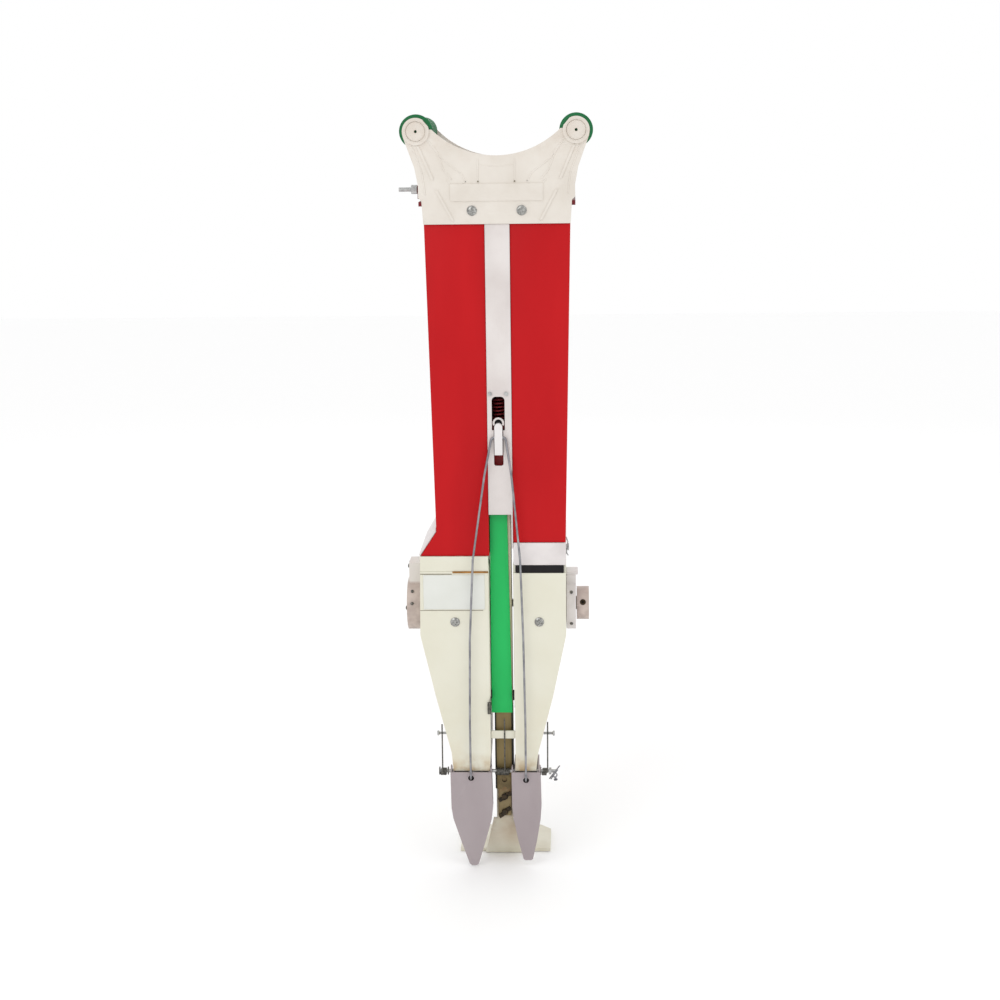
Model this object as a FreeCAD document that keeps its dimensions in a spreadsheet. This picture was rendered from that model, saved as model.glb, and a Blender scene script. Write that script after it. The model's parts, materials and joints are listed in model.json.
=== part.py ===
import FreeCAD, Part
import math
import operator
import os
import Sketcher
from FreeCAD import Placement, Rotation, Vector

# Hand-held corn planter with two barrels: seed at -X, fertiliser at +X, front at -Y, +Z up.
# x = 0 is the slide bar's centre line, y = 0 the middle of the hoppers, z = 0 the foot's sole.

doc = FreeCAD.newDocument("corn_planter")
sheet = doc.addObject("Spreadsheet::Sheet", "Dims")
nodes = {}


# ---------------------------------------------------------------- sizes that know their formula
class Size:
    """A value together with the spreadsheet formula that it comes from."""

    def __init__(self, value, formula):
        self.value, self.formula = float(value), formula

    def __add__(self, other):
        return joined(self, "+", other)

    def __radd__(self, other):
        return joined(other, "+", self)

    def __sub__(self, other):
        return joined(self, "-", other)

    def __rsub__(self, other):
        return joined(other, "-", self)

    def __mul__(self, other):
        return joined(self, "*", other)

    def __rmul__(self, other):
        return joined(other, "*", self)

    def __truediv__(self, other):
        return joined(self, "/", other)

    def __neg__(self):
        return joined(0, "-", self)


OPERATIONS = {"+": operator.add, "-": operator.sub, "*": operator.mul, "/": operator.truediv}


def as_size(item):
    return item if isinstance(item, Size) else Size(item, f"({float(item)!r})")


def joined(left, sign, right):
    left, right = as_size(left), as_size(right)
    return Size(OPERATIONS[sign](left.value, right.value), f"({left.formula} {sign} {right.formula})")


def bind(thing, path, size):
    thing.setExpression(path, as_size(size).formula)


rows = 0


def cell(alias, value):
    """Writes one driving size to the sheet and returns it."""
    global rows
    rows += 1
    sheet.set(f"A{rows}", alias)
    sheet.set(f"B{rows}", str(value))
    sheet.setAlias(f"B{rows}", alias)
    return Size(value, f"Dims.{alias}")


# overall shape
half_depth = cell("half_depth", 58)            # hopper, half of its depth
deck_z = cell("deck_z", 799)                   # top of the hoppers
grip_z = cell("grip_z", 882)                   # axis of the hand grips
grip_x = cell("grip_x", 89.5)
hopper_top_half = cell("hopper_top_half", 83)
hopper_low_half = cell("hopper_low_half", 75.6)
seed_hopper_z = cell("seed_hopper_z", 393.7)   # bottom edges of the two hoppers
fert_hopper_z = cell("fert_hopper_z", 409.8)
flare_half = cell("flare_half", 94.8)
flare_z = cell("flare_z", 422.4)
wall = cell("wall", 2.5)                       # moulded walls
sheet_wall = cell("sheet_wall", 1.2)           # painted front and rear panels
seam = cell("seam", 0.3)                       # gap between neighbouring mouldings
# yoke and grips
yoke_thick = cell("yoke_thick", 4)
yoke_low_z = cell("yoke_low_z", 779.3)
yoke_dip_z = cell("yoke_dip_z", 855)
yoke_dip_radius = cell("yoke_dip_radius", 104)
rear_dip = cell("rear_dip", 3.4)                # the rear cheek's U is deeper by this
boss_radius = cell("boss_radius", 15)
boss_proud = cell("boss_proud", 2.5)
rib_wide = cell("rib_wide", 3)
rib_proud = cell("rib_proud", 1.2)
grip_radius = cell("grip_radius", 15.4)
flange_radius = cell("flange_radius", 18.9)       # collar at the front end of each grip
flange_wide = cell("flange_wide", 4)
rod_radius = cell("rod_radius", 11)
yoke_screw_x = cell("yoke_screw_x", 28)
yoke_screw_z = cell("yoke_screw_z", 794.3)
screw_head_radius = cell("screw_head_radius", 5.7)
screw_shank_radius = cell("screw_shank_radius", 2.4)
screw_head_high = cell("screw_head_high", 2.2)
# deck, lids and their rod
deck_thick = cell("deck_thick", 5)
deck_half = cell("deck_half", 88.4)
mouth_in = cell("mouth_in", 20)                # filler mouths, from and to this x
mouth_out = cell("mouth_out", 60)
mouth_front = cell("mouth_front", 46)
mouth_back = cell("mouth_back", 26)
lid_thick = cell("lid_thick", 3)
lid_over = cell("lid_over", 5)                 # lid beyond the mouth's edge
lid_rod_y = cell("lid_rod_y", 44)
lid_rod_z = cell("lid_rod_z", 814.2)
lid_rod_radius = cell("lid_rod_radius", 2.6)
lid_rod_left = cell("lid_rod_left", 120)
lid_nut_left = cell("lid_nut_left", 105.6)
lid_nut_radius = cell("lid_nut_radius", 5.4)
running = cell("running", 0.05)                # radial clearance of running fits
# channel and slide
channel_half = cell("channel_half", 14)
channel_wall = cell("channel_wall", 1.4)
channel_front = cell("channel_front", 61)      # web's front face, in front of the middle
channel_back = cell("channel_back", 24)
channel_web_low = cell("channel_web_low", 443.5)
channel_low = cell("channel_low", 402.5)
slot_x = cell("slot_x", -1.3)                  # slot and tongue sit a little to the left
slot_top_half = cell("slot_top_half", 7.5)
slot_corner = cell("slot_corner", 4.8)
slot_foot_corner = cell("slot_foot_corner", 2.6)
left_flange_low = cell("left_flange_low", 496)
slot_low_half = cell("slot_low_half", 5.5)
slot_top = cell("slot_top", 582.7)
slot_step = cell("slot_step", 543.5)
slot_low = cell("slot_low", 501.7)
slide_half = cell("slide_half", 11)
slide_front = cell("slide_front", 47)
slide_deep = cell("slide_deep", 24)
slide_wall = cell("slide_wall", 1.6)
slide_low = cell("slide_low", 98.6)
slide_top = cell("slide_top", 552)
strip_half = cell("strip_half", 9)
strip_thick = cell("strip_thick", 1.3)
sleeve_low = cell("sleeve_low", 196.5)
sleeve_top = cell("sleeve_top", 474)
sleeve_wall = cell("sleeve_wall", 0.9)
sleeve_left_low = cell("sleeve_left_low", 14.4)   # the sleeve narrows upwards
sleeve_left_top = cell("sleeve_left_top", 13.4)
sleeve_right_low = cell("sleeve_right_low", 10.8)
sleeve_right_top = cell("sleeve_right_top", 6.6)
stroke = cell("stroke", 20)                    # foot slide's travel
tongue_half = cell("tongue_half", 4.6)
tongue_low = cell("tongue_low", 515)
tongue_top = cell("tongue_top", 552)
hook_z = cell("hook_z", 535.5)                 # wire hooks at rest, top of the tongue's slot
lost_motion = cell("lost_motion", 12.8)        # length of the tongue's slot
tongue_front = cell("tongue_front", 65.5)
spring_top = cell("spring_top", 640)
spring_radius = cell("spring_radius", 7.4)
spring_wire = cell("spring_wire", 0.9)
rail_thick = cell("rail_thick", 0.7)
rail_low = cell("rail_low", 205)
rail_top = cell("rail_top", 381.5)
# chutes
gap_left = cell("gap_left", 15.5)              # the chutes' inner walls from the slide's centre
gap_right = cell("gap_right", 14.2)
chute_front = cell("chute_front", 61)
chute_front_low = cell("chute_front_low", 60.2)
seed_top = cell("seed_top", 393.3)
fert_top = cell("fert_top", 382.2)
chute_knee_z = cell("chute_knee_z", 297)
chute_middle_z = cell("chute_middle_z", 220)
chute_waist_z = cell("chute_waist_z", 150)
chute_low_z = cell("chute_low_z", 126.6)
seed_rim = cell("seed_rim", 95.6)              # outer walls: rim, knee, middle, waist, lower end
seed_chute_half = cell("seed_chute_half", 97.3)
seed_middle = cell("seed_middle", 80.2)
seed_waist = cell("seed_waist", 62.9)
seed_end = cell("seed_end", 60.8)
fert_chute_half = cell("fert_chute_half", 75.7)
fert_middle = cell("fert_middle", 59.6)
fert_waist = cell("fert_waist", 41.6)
fert_end = cell("fert_end", 38.9)
middle_back = cell("middle_back", 30)          # rear wall's y, from the middle down
waist_back = cell("waist_back", 4.5)
low_back = cell("low_back", -4)
low_split = cell("low_split", -36)             # where the two halves meet, below the knee
seed_screw_x = cell("seed_screw_x", 55.5)
fert_screw_x = cell("fert_screw_x", 44)
chute_screw_z = cell("chute_screw_z", 313.5)
band_low = cell("band_low", 373.3)
panel_x = cell("panel_x", 92.4)
panel_in = cell("panel_in", 20)
panel_low = cell("panel_low", 329)
panel_top = cell("panel_top", 371)
panel_proud = cell("panel_proud", 0.8)
# metering
shaft_y = cell("shaft_y", -5)
shaft_z = cell("shaft_z", 321.5)
shaft_radius = cell("shaft_radius", 5)
module = cell("module", 1.5)
teeth = cell("teeth", 17)
gear_half = cell("gear_half", 6)
backlash = cell("backlash", 0.8)
cover_out = cell("cover_out", 115)
drum_radius = cell("drum_radius", 31.6)
wheel_radius = cell("wheel_radius", 27.5)
wheel_thick = cell("wheel_thick", 12)
cell_radius = cell("cell_radius", 5.5)
neck_out = cell("neck_out", 112.6)
neck_half = cell("neck_half", 15)
neck_top = cell("neck_top", 375.6)
housing_out = cell("housing_out", 87.5)
housing_flange = cell("housing_flange", 90)
flange_low = cell("flange_low", 359.4)
flange_top = cell("flange_top", 363.2)
flange_half = cell("flange_half", 12)
knob_in = cell("knob_in", 88.3)
knob_out = cell("knob_out", 103)
knob_radius = cell("knob_radius", 20)
set_screw_radius = cell("set_screw_radius", 3.6)
set_screw_tilt = cell("set_screw_tilt", 17)
roller_radius = cell("roller_radius", 19)
roller_in = cell("roller_in", 26)
roller_out = cell("roller_out", 60)
sleeve_radius = cell("sleeve_radius", 8)
# duckbills
axle_y = cell("axle_y", -54.5)
axle_z = cell("axle_z", 124.5)
axle_radius = cell("axle_radius", 2.1)
axle_left = cell("axle_left", 78)
axle_right = cell("axle_right", 63)
bill_lean = cell("bill_lean", 6.4)             # degrees that a flap leans back at rest
plate_front = cell("plate_front", 10.8)        # flap's face in front of the axle
plate_thick = cell("plate_thick", 1.6)
seed_bill_x = cell("seed_bill_x", -39.6)
seed_bill_half = cell("seed_bill_half", 24.8)
seed_bill_long = cell("seed_bill_long", 123.5)
fert_bill_x = cell("fert_bill_x", 26.6)
fert_bill_half = cell("fert_bill_half", 17.4)
fert_bill_long = cell("fert_bill_long", 116.4)
seed_hook_drop = cell("seed_hook_drop", 4.7)   # wire holes below the axle
fert_hook_drop = cell("fert_hook_drop", 7.3)
hook_hole = cell("hook_hole", 3.6)
wire_radius = cell("wire_radius", 1.3)
ear_gap = cell("ear_gap", 0.8)
coil_radius = cell("coil_radius", 4.7)
coil_wire = cell("coil_wire", 0.8)
# foot
foot_half = cell("foot_half", 56)
foot_x = cell("foot_x", -1.5)
foot_front = cell("foot_front", -8)
foot_back = cell("foot_back", 67)
foot_thick = cell("foot_thick", 4)
foot_corner = cell("foot_corner", 13)
stem_half = cell("stem_half", 10)
stem_thick = cell("stem_thick", 4)
stem_low = cell("stem_low", 63)
gusset_left = cell("gusset_left", 26)
gusset_right = cell("gusset_right", 22.6)
fold_left = cell("fold_left", 14)
fold_right = cell("fold_right", 9.4)
bolt_radius = cell("bolt_radius", 4.4)


# ---------------------------------------------------------------- drawing helpers
def node(name, thing):
    """Names a finished piece of the planter: its label is its file's name."""
    thing.Label = name
    nodes[name] = thing
    return thing


def new(kind, **sizes):
    thing = doc.addObject(kind, "piece")
    for path, size in sizes.items():
        bind(thing, path, size)
    return thing


def place(thing, x, y, z, turn=None):
    if turn:
        axis, angle = turn
        thing.Placement = Placement(Vector(0, 0, 0), Rotation(Vector(*axis), angle))
    for path, size in ((".Placement.Base.x", x), (".Placement.Base.y", y), (".Placement.Base.z", z)):
        bind(thing, path, size)
    return thing


def block(x, y, z):
    """A box between pairs of limits along the three axes."""
    thing = new("Part::Box", Length=x[1] - x[0], Width=y[1] - y[0], Height=z[1] - z[0])
    return place(thing, x[0], y[0], z[0])


ALONG_X = ((0, 1, 0), 90)
ALONG_Y = ((1, 0, 0), -90)


def bar_x(radius, x, y, z):
    return place(new("Part::Cylinder", Radius=radius, Height=x[1] - x[0]), x[0], y, z, ALONG_X)


def bar_y(radius, x, y, z):
    return place(new("Part::Cylinder", Radius=radius, Height=y[1] - y[0]), x, y[0], z, ALONG_Y)


def bar_z(radius, x, y, z):
    return place(new("Part::Cylinder", Radius=radius, Height=z[1] - z[0]), x, y, z[0])


def fuse(*things):
    if len(things) == 1:
        return things[0]
    whole = doc.addObject("Part::MultiFuse", "piece")
    whole.Shapes = list(things)
    return whole


def cut(base, *tools):
    rest = doc.addObject("Part::Cut", "piece")
    rest.Base, rest.Tool = base, fuse(*tools)
    return rest


def group(*things):
    """Separate solids that share one node."""
    whole = doc.addObject("Part::Compound", "piece")
    whole.Links = list(things)
    return whole


def polygon(*corners):
    """A closed outline whose corners are bound to the sheet."""

    def draw(sketch):
        first = sketch.GeometryCount
        ends = [Vector(as_size(u).value, as_size(v).value, 0) for u, v in corners]
        lines = [Part.LineSegment(a, b) for a, b in zip(ends, ends[1:] + ends[:1])]
        sketch.addGeometry(lines, False)
        count = len(corners)
        sketch.addConstraint([Sketcher.Constraint("Coincident", first + i, 2, first + (i + 1) % count, 1)
                              for i in range(count)])
        for i, corner in enumerate(corners):
            for kind, size in zip(("DistanceX", "DistanceY"), corner):
                pin(sketch, Sketcher.Constraint(kind, -1, 1, first + i, 1, as_size(size).value), size)

    return draw


def circle(u, v, radius):
    """A round outline whose centre and radius are bound to the sheet."""

    def draw(sketch):
        index = sketch.GeometryCount
        centre = Vector(as_size(u).value, as_size(v).value, 0)
        sketch.addGeometry(Part.Circle(centre, Vector(0, 0, 1), as_size(radius).value), False)
        for kind, size in (("DistanceX", u), ("DistanceY", v)):
            pin(sketch, Sketcher.Constraint(kind, -1, 1, index, 3, as_size(size).value), size)
        pin(sketch, Sketcher.Constraint("Radius", index, as_size(radius).value), radius)

    return draw


def pin(sketch, constraint, size):
    index = sketch.addConstraint(constraint)
    sketch.renameConstraint(index, f"size_{index}")
    bind(sketch, f"Constraints.size_{index}", size)


def rectangle(u, v):
    return polygon((u[0], v[0]), (u[1], v[0]), (u[1], v[1]), (u[0], v[1]))


def new_body(name):
    return node(name, doc.addObject("PartDesign::Body", name))


def sketch_on(body, plane, offset, *outlines):
    sketch = body.newObject("Sketcher::SketchObject", "outline")
    base = next(f for f in body.Origin.OriginFeatures if f.Role == plane + "_Plane")
    sketch.AttachmentSupport = [(base, "")]
    sketch.MapMode = "FlatFace"
    bind(sketch, ".AttachmentOffset.Base.z", offset)
    for draw in outlines:
        draw(sketch)
    return sketch


def pad(body, plane, limits, *outlines):
    """Adds a prism between two limits along the plane's axis. The XZ plane's normal is -Y."""
    low, high = limits
    offset = -high if plane == "XZ" else low
    step = body.newObject("PartDesign::Pad", "pad")
    step.Profile = sketch_on(body, plane, offset, *outlines)
    bind(step, "Length", high - low)
    return step


def pocket(body, plane, limits, *outlines):
    """Removes a prism between two limits along the plane's axis, against the plane's normal."""
    low, high = limits
    offset = -low if plane == "XZ" else high
    step = body.newObject("PartDesign::Pocket", "pocket")
    step.Profile = sketch_on(body, plane, offset, *outlines)
    bind(step, "Length", high - low)
    return step


def loft(body, kind, sections):
    """Joins level outlines, listed as (z, outline), with straight walls."""
    step = body.newObject("PartDesign::" + kind, "loft")
    outlines = [sketch_on(body, "XY", z, draw) for z, draw in sections]
    step.Profile = outlines[0]
    step.Sections = outlines[1:]
    step.Ruled = True
    return step


def polar(body, step, count, sketch):
    """Repeats a step round its sketch's normal."""
    pattern = body.newObject("PartDesign::PolarPattern", "pattern")
    pattern.Originals = [step]
    pattern.Axis = (sketch, ["N_Axis"])
    pattern.Angle = 360
    bind(pattern, "Occurrences", count)
    body.Tip = pattern
    return pattern


def screw_y(x, z, face, side, reach, radius=screw_head_radius, shank=screw_shank_radius):
    """A cross-head screw along Y: side -1 has its head at the front, +1 at the rear."""
    if side < 0:
        head = bar_y(radius, x, (face - screw_head_high, face), z)
        shaft = bar_y(shank, x, (face, face + reach), z)
        outer, inner = face - screw_head_high, face - screw_head_high + 1.2
        cross = [block((x - 2.6, x + 2.6), (outer, inner), (z - 0.6, z + 0.6)),
                 block((x - 0.6, x + 0.6), (outer, inner), (z - 2.6, z + 2.6))]
    else:
        head = bar_y(radius, x, (face, face + screw_head_high), z)
        shaft = bar_y(shank, x, (face - reach, face), z)
        outer, inner = face + screw_head_high, face + screw_head_high - 1.2
        cross = [block((x - 2.6, x + 2.6), (inner, outer), (z - 0.6, z + 0.6)),
                 block((x - 0.6, x + 0.6), (inner, outer), (z - 2.6, z + 2.6))]
    return cut(fuse(head, shaft), *cross)


# ---------------------------------------------------------------- yokes, handle rods and grips
hopper_face = half_depth + sheet_wall


def yoke(name, side):
    """One moulded cheek: a plate with a U at its top and a boss for each hand grip."""
    body = new_body(name)
    inner, outer = half_depth + seam, half_depth + seam + yoke_thick

    def span(near, far):
        return (-far, -near) if side < 0 else (near, far)

    edge = [(grip_x + boss_radius, grip_z - 1), (grip_x + boss_radius - 0.6, grip_z - 6),
            (hopper_top_half + 8.7, deck_z + 43), (hopper_top_half + 5, deck_z + 23),
            (hopper_top_half + 5.3, deck_z + 10), (hopper_top_half + 1.6, deck_z + 6.4),
            (hopper_top_half + 1, deck_z - 3),
            (hopper_top_half, yoke_low_z)]
    corners = [(grip_x, grip_z + 2)] + edge + [(-x, z) for x, z in reversed(edge)] + [(-grip_x, grip_z + 2)]
    pad(body, "XZ", span(inner, outer), polygon(*corners))
    for x in (-grip_x, grip_x):
        pad(body, "XZ", span(inner, outer + boss_proud), circle(x, grip_z, boss_radius))
    dip_z = yoke_dip_z if side < 0 else yoke_dip_z - rear_dip
    pocket(body, "XZ", span(inner, outer + boss_proud), circle(0, dip_z + yoke_dip_radius, yoke_dip_radius))
    face, rib_face = outer, outer + rib_proud
    pad(body, "XZ", span(face, rib_face), rectangle((-52, 52), (deck_z + 6, deck_z + 25)))
    for turn in (-1, 1):
        for x_top, x_low, z_top, z_low in ((66, 48, deck_z + 18, yoke_low_z + 4),
                                           (86, 70, grip_z - 16, deck_z + 30)):
            pad(body, "XZ", span(face, rib_face),
                polygon((x_top * turn, z_top), ((x_top + rib_wide) * turn, z_top),
                        ((x_low + rib_wide) * turn, z_low), (x_low * turn, z_low)))
    for x in (-grip_x, grip_x):
        pocket(body, "XZ", span(inner, outer + boss_proud), circle(x, grip_z, rod_radius + running))
    for x in (-yoke_screw_x, yoke_screw_x):
        pocket(body, "XZ", span(inner, rib_face), circle(x, yoke_screw_z, screw_shank_radius + running))


yoke("front_yoke", -1)
yoke("rear_yoke", 1)
yoke_face = half_depth + seam + yoke_thick
boss_face = yoke_face + boss_proud

for word, x in (("left", -grip_x), ("right", grip_x)):
    tube = bar_y(rod_radius, x, (-boss_face + 0.8, boss_face - 0.8), grip_z)
    node(f"handle_rod_{word}", cut(tube, bar_y(1.6, x, (-boss_face, boss_face), grip_z)))
    grip = new_body(f"grip_{word}")
    grip_end = half_depth + seam - 0.4
    pad(grip, "XZ", (-grip_end, grip_end), circle(x, grip_z, grip_radius))
    pad(grip, "XZ", (-grip_end, flange_wide - grip_end), circle(x, grip_z, flange_radius))
    pocket(grip, "XZ", (-grip_end, grip_end), circle(x, grip_z, rod_radius + running))

screws = [screw_y(x, yoke_screw_z, side * yoke_face, side, yoke_thick + seam + wall + 3)
          for side in (-1, 1) for x in (-yoke_screw_x, yoke_screw_x)]
node("yoke_screws", group(*screws))


# ---------------------------------------------------------------- hoppers and their panels
def slope_half(z, shift=0):
    """Half width of the hoppers at a height."""
    share = (z - fert_hopper_z) / (deck_z - fert_hopper_z)
    return hopper_low_half + (hopper_top_half - hopper_low_half) * share + shift


hopper_in = channel_half + seam


def hopper(name, side, outline, hollow):
    body = new_body(name)
    mirrored = [(x * side, z) for x, z in outline]
    pad(body, "XZ", (-half_depth, half_depth), polygon(*mirrored))
    pocket(body, "XZ", (wall - half_depth, half_depth - wall), polygon(*[(x * side, z) for x, z in hollow]))
    hole_z = (yoke_screw_z,)
    for z in hole_z:
        pocket(body, "XZ", (-half_depth, half_depth), circle(yoke_screw_x * side, z, screw_shank_radius + 0.1))
    return body


fert_outline = [(hopper_in, fert_hopper_z), (hopper_low_half, fert_hopper_z), (hopper_top_half, deck_z),
                (hopper_in, deck_z)]
fert_hollow = [(hopper_in + wall, fert_hopper_z - 1), (slope_half(fert_hopper_z - 1) - wall, fert_hopper_z - 1),
               (slope_half(deck_z + 1) - wall, deck_z + 1), (hopper_in + wall, deck_z + 1)]
seed_outline = [(hopper_in, seed_hopper_z), (flare_half, seed_hopper_z), (slope_half(flare_z), flare_z),
                (hopper_top_half, deck_z), (hopper_in, deck_z)]
seed_hollow = [(hopper_in + wall, seed_hopper_z - 1), (flare_half - wall, seed_hopper_z - 1),
               (flare_half - wall - 0.6, seed_hopper_z), (slope_half(flare_z) - wall, flare_z + 1.4),
               (slope_half(deck_z + 1) - wall, deck_z + 1), (hopper_in + wall, deck_z + 1)]
hopper("fertiliser_hopper", 1, fert_outline, fert_hollow)
hopper("seed_hopper", -1, seed_outline, seed_hollow)

panel_top_z = yoke_low_z - seam
for name, side, outline in (
        ("fertiliser_front_panel", 1,
         [(hopper_in, fert_hopper_z), (slope_half(fert_hopper_z), fert_hopper_z),
          (slope_half(panel_top_z), panel_top_z), (hopper_in, panel_top_z)]),
        ("seed_front_panel", -1,
         [(hopper_in, seed_hopper_z), (flare_half, seed_hopper_z), (slope_half(flare_z), flare_z),
          (slope_half(panel_top_z), panel_top_z), (hopper_in, panel_top_z)])):
    pad(new_body(name), "XZ", (-hopper_face, -half_depth), polygon(*[(x * side, z) for x, z in outline]))
rear_panel = new_body("rear_panel")
pad(rear_panel, "XZ", (half_depth, hopper_face),
    polygon((-slope_half(flare_z), flare_z), (slope_half(flare_z), flare_z),
            (slope_half(panel_top_z), panel_top_z), (-slope_half(panel_top_z), panel_top_z)))

# the whitish pocket outside the seed hopper's flare
pocket_thick = cell("pocket_thick", 2.4)
flare_rise = flare_z - seed_hopper_z
side_pocket = new_body("seed_side_pocket")
pad(side_pocket, "XZ", (-half_depth, half_depth),
    polygon((-(flare_half + seam), seed_hopper_z), (-(flare_half + seam + pocket_thick), seed_hopper_z),
            (-(slope_half(flare_z) + seam + pocket_thick), flare_z + 4),
            (-(slope_half(flare_z) + seam), flare_z + 6), (-(slope_half(flare_z) + seam), flare_z)))


# ---------------------------------------------------------------- deck, lids and their hinge rod
deck_top = deck_z + seam + deck_thick
deck = new_body("top_deck")
deck_y = half_depth - 0.4
pad(deck, "XY", (deck_z + seam, deck_top), rectangle((-deck_half, deck_half), (-deck_y, deck_y)))
for side in (-1, 1):
    pocket(deck, "XY", (deck_z, deck_top), rectangle((mouth_in * side, mouth_out * side),
                                                     (-mouth_front, mouth_back)))
lug_radius = cell("lug_radius", 5)
lid_in, lid_out = mouth_in - lid_over, mouth_out + lid_over
lug_spans = [(-lid_nut_left + 8, -(lid_out + 1)), (-(lid_in - 1), lid_in - 1), (lid_out + 1, deck_half - 9)]
for low, high in lug_spans:
    pad(deck, "YZ", (low, high), polygon((lid_rod_y - 5, deck_top - 1), (lid_rod_y + 5, deck_top - 1),
                                         (lid_rod_y + 5, lid_rod_z), (lid_rod_y - 5, lid_rod_z)))
    pad(deck, "YZ", (low, high), circle(lid_rod_y, lid_rod_z, lug_radius))
pocket(deck, "YZ", (-lid_nut_left, deck_half), circle(lid_rod_y, lid_rod_z, lid_rod_radius + running))

for name, side in (("seed_lid", -1), ("fertiliser_lid", 1)):
    lid = new_body(name)
    low, high = (-lid_out, -lid_in) if side < 0 else (lid_in, lid_out)
    base = deck_top + seam
    pad(lid, "XY", (base, base + lid_thick), rectangle((low, high), (-(mouth_front + lid_over), lid_rod_y)))
    pad(lid, "YZ", (low, high), circle(lid_rod_y, lid_rod_z, lug_radius))
    pad(lid, "YZ", (low, high), polygon((lid_rod_y - 4, base), (lid_rod_y + 3, base + lid_thick),
                                        (lid_rod_y + 4, lid_rod_z), (lid_rod_y - 4, lid_rod_z)))
    pad(lid, "XY", (base + lid_thick, base + lid_thick + 5),
        rectangle((low + 16, high - 16), (-(mouth_front + lid_over), -(mouth_front + lid_over) + 4)))
    pocket(lid, "YZ", (low, high), circle(lid_rod_y, lid_rod_z, lid_rod_radius + running))

node("lid_hinge_rod", bar_x(lid_rod_radius, (-lid_rod_left, deck_half - 6), lid_rod_y, lid_rod_z))
nuts = [cut(bar_x(lid_nut_radius, span, lid_rod_y, lid_rod_z),
            bar_x(lid_rod_radius + running, span, lid_rod_y, lid_rod_z))
        for span in ((-lid_nut_left, -lid_nut_left + 7.7), (deck_half - 8.7, deck_half - 6.5))]
node("lid_rod_nuts", group(*nuts))

# ---------------------------------------------------------------- centre channel
channel = new_body("centre_channel")
web_back = -channel_front + channel_wall
channel_top = yoke_low_z - seam
pad(channel, "XZ", (-channel_front, web_back), rectangle((-channel_half, channel_half),
                                                         (channel_web_low, channel_top)))
for low, high, end in ((-channel_half, channel_wall - channel_half, left_flange_low),
                       (channel_half - channel_wall, channel_half, channel_low)):
    pad(channel, "XZ", (-channel_front, -channel_back), rectangle((low, high), (end, channel_top)))


def slot_end(half, corner, z_square, z_end):
    """One end of the slot: square up to its rounded corners."""
    turn = 1 if z_end.value > z_square.value else -1
    inner = z_end - turn * corner
    for x, z in (((slot_x - half, slot_x + half), (z_square, inner)),
                 ((slot_x - half + corner, slot_x + half - corner), (inner, z_end))):
        pocket(channel, "XZ", (-channel_front, web_back), rectangle(x, z if turn > 0 else z[::-1]))
    for x in (slot_x - half + corner, slot_x + half - corner):
        pocket(channel, "XZ", (-channel_front, web_back), circle(x, inner, corner))


slot_end(slot_top_half, slot_corner, slot_step, slot_top)
slot_end(slot_low_half, slot_foot_corner, slot_step, slot_low)
seat_half = channel_half - channel_wall
pad(channel, "XY", (spring_top, spring_top + 3), rectangle((-seat_half - 0.5, seat_half + 0.5),
                                                           (web_back - 0.5, -channel_back)))
small_screw_x = cell("small_screw_x", 9.4)
small_screw_z = cell("small_screw_z", 586)
for x in (slot_x - small_screw_x, slot_x + small_screw_x):
    pocket(channel, "XZ", (-channel_front, web_back), circle(x, small_screw_z, 1.3))
small = [fuse(bar_y(2.4, x, (-channel_front - 1.2, -channel_front), small_screw_z),
              bar_y(1.25, x, (-channel_front, web_back + 1.2), small_screw_z))
         for x in (slot_x - small_screw_x, slot_x + small_screw_x)]
node("channel_screws", group(*small))

# ---------------------------------------------------------------- slide, sleeve, tongue and spring
slide_back = -slide_front + slide_deep
outer_tube = block((-slide_half, slide_half), (-slide_front, slide_back), (slide_low, slide_top))
inner_tube = block((slide_wall - slide_half, slide_half - slide_wall),
                   (slide_wall - slide_front, slide_back - slide_wall), (slide_low - 1, slide_top + 1))
hole_z = cell("hole_z", 110.5)
hole_radius = cell("hole_radius", 3)
face_hole = bar_y(hole_radius, 0, (-slide_front - 2, 3 - slide_front), hole_z)
half_hole = bar_y(hole_radius, 0, (-slide_front - 2, 3 - slide_front), slide_low)
node("slide_tube", cut(outer_tube, inner_tube, face_hole, half_hole))
strip = block((-strip_half, strip_half), (-slide_front - strip_thick, -slide_front),
              (slide_low, sleeve_low + 6))
strip_hole = bar_y(hole_radius, 0, (-slide_front - 2, 3 - slide_front), hole_z)
strip_half_hole = bar_y(hole_radius, 0, (-slide_front - 2, 3 - slide_front), slide_low)
node("wear_strip", cut(strip, strip_hole, strip_half_hole))
sleeve = new_body("green_sleeve")
sleeve_front = slide_front + strip_thick + sleeve_wall
loft(sleeve, "AdditiveLoft",
     [(z, rectangle((-left, right), (-sleeve_front, slide_back - 1)))
      for z, left, right in ((sleeve_low, sleeve_left_low, sleeve_right_low),
                             (sleeve_top, sleeve_left_top, sleeve_right_top))])
pocket(sleeve, "XY", (sleeve_low, sleeve_top),
       rectangle((-slide_half, slide_half + 2), (-slide_front - strip_thick, slide_back + 1)))

tongue = new_body("pull_block")
block_back = -slide_front
pad(tongue, "XZ", (-slide_front - 5, block_back), rectangle((-slide_half, slide_half), (tongue_low, tongue_top)))
pad(tongue, "XZ", (-tongue_front, block_back),
    rectangle((slot_x - tongue_half, slot_x + tongue_half), (tongue_low, tongue_top - tongue_half)))
pad(tongue, "XZ", (-tongue_front, -channel_front + channel_wall),
    circle(slot_x, tongue_top - tongue_half, tongue_half))
pin_y = -(channel_front + tongue_front) / 2
pin_radius = cell("pin_radius", 1.3)
pin_gap = pin_radius + 0.2
tongue_sides = (slot_x - tongue_half - 1, slot_x + tongue_half + 1)
pocket(tongue, "YZ", tongue_sides,
       rectangle((pin_y - pin_gap, pin_y + pin_gap), (hook_z - lost_motion, hook_z)))
for z in (hook_z - lost_motion, hook_z):
    pocket(tongue, "YZ", tongue_sides, circle(pin_y, z, pin_gap))

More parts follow.
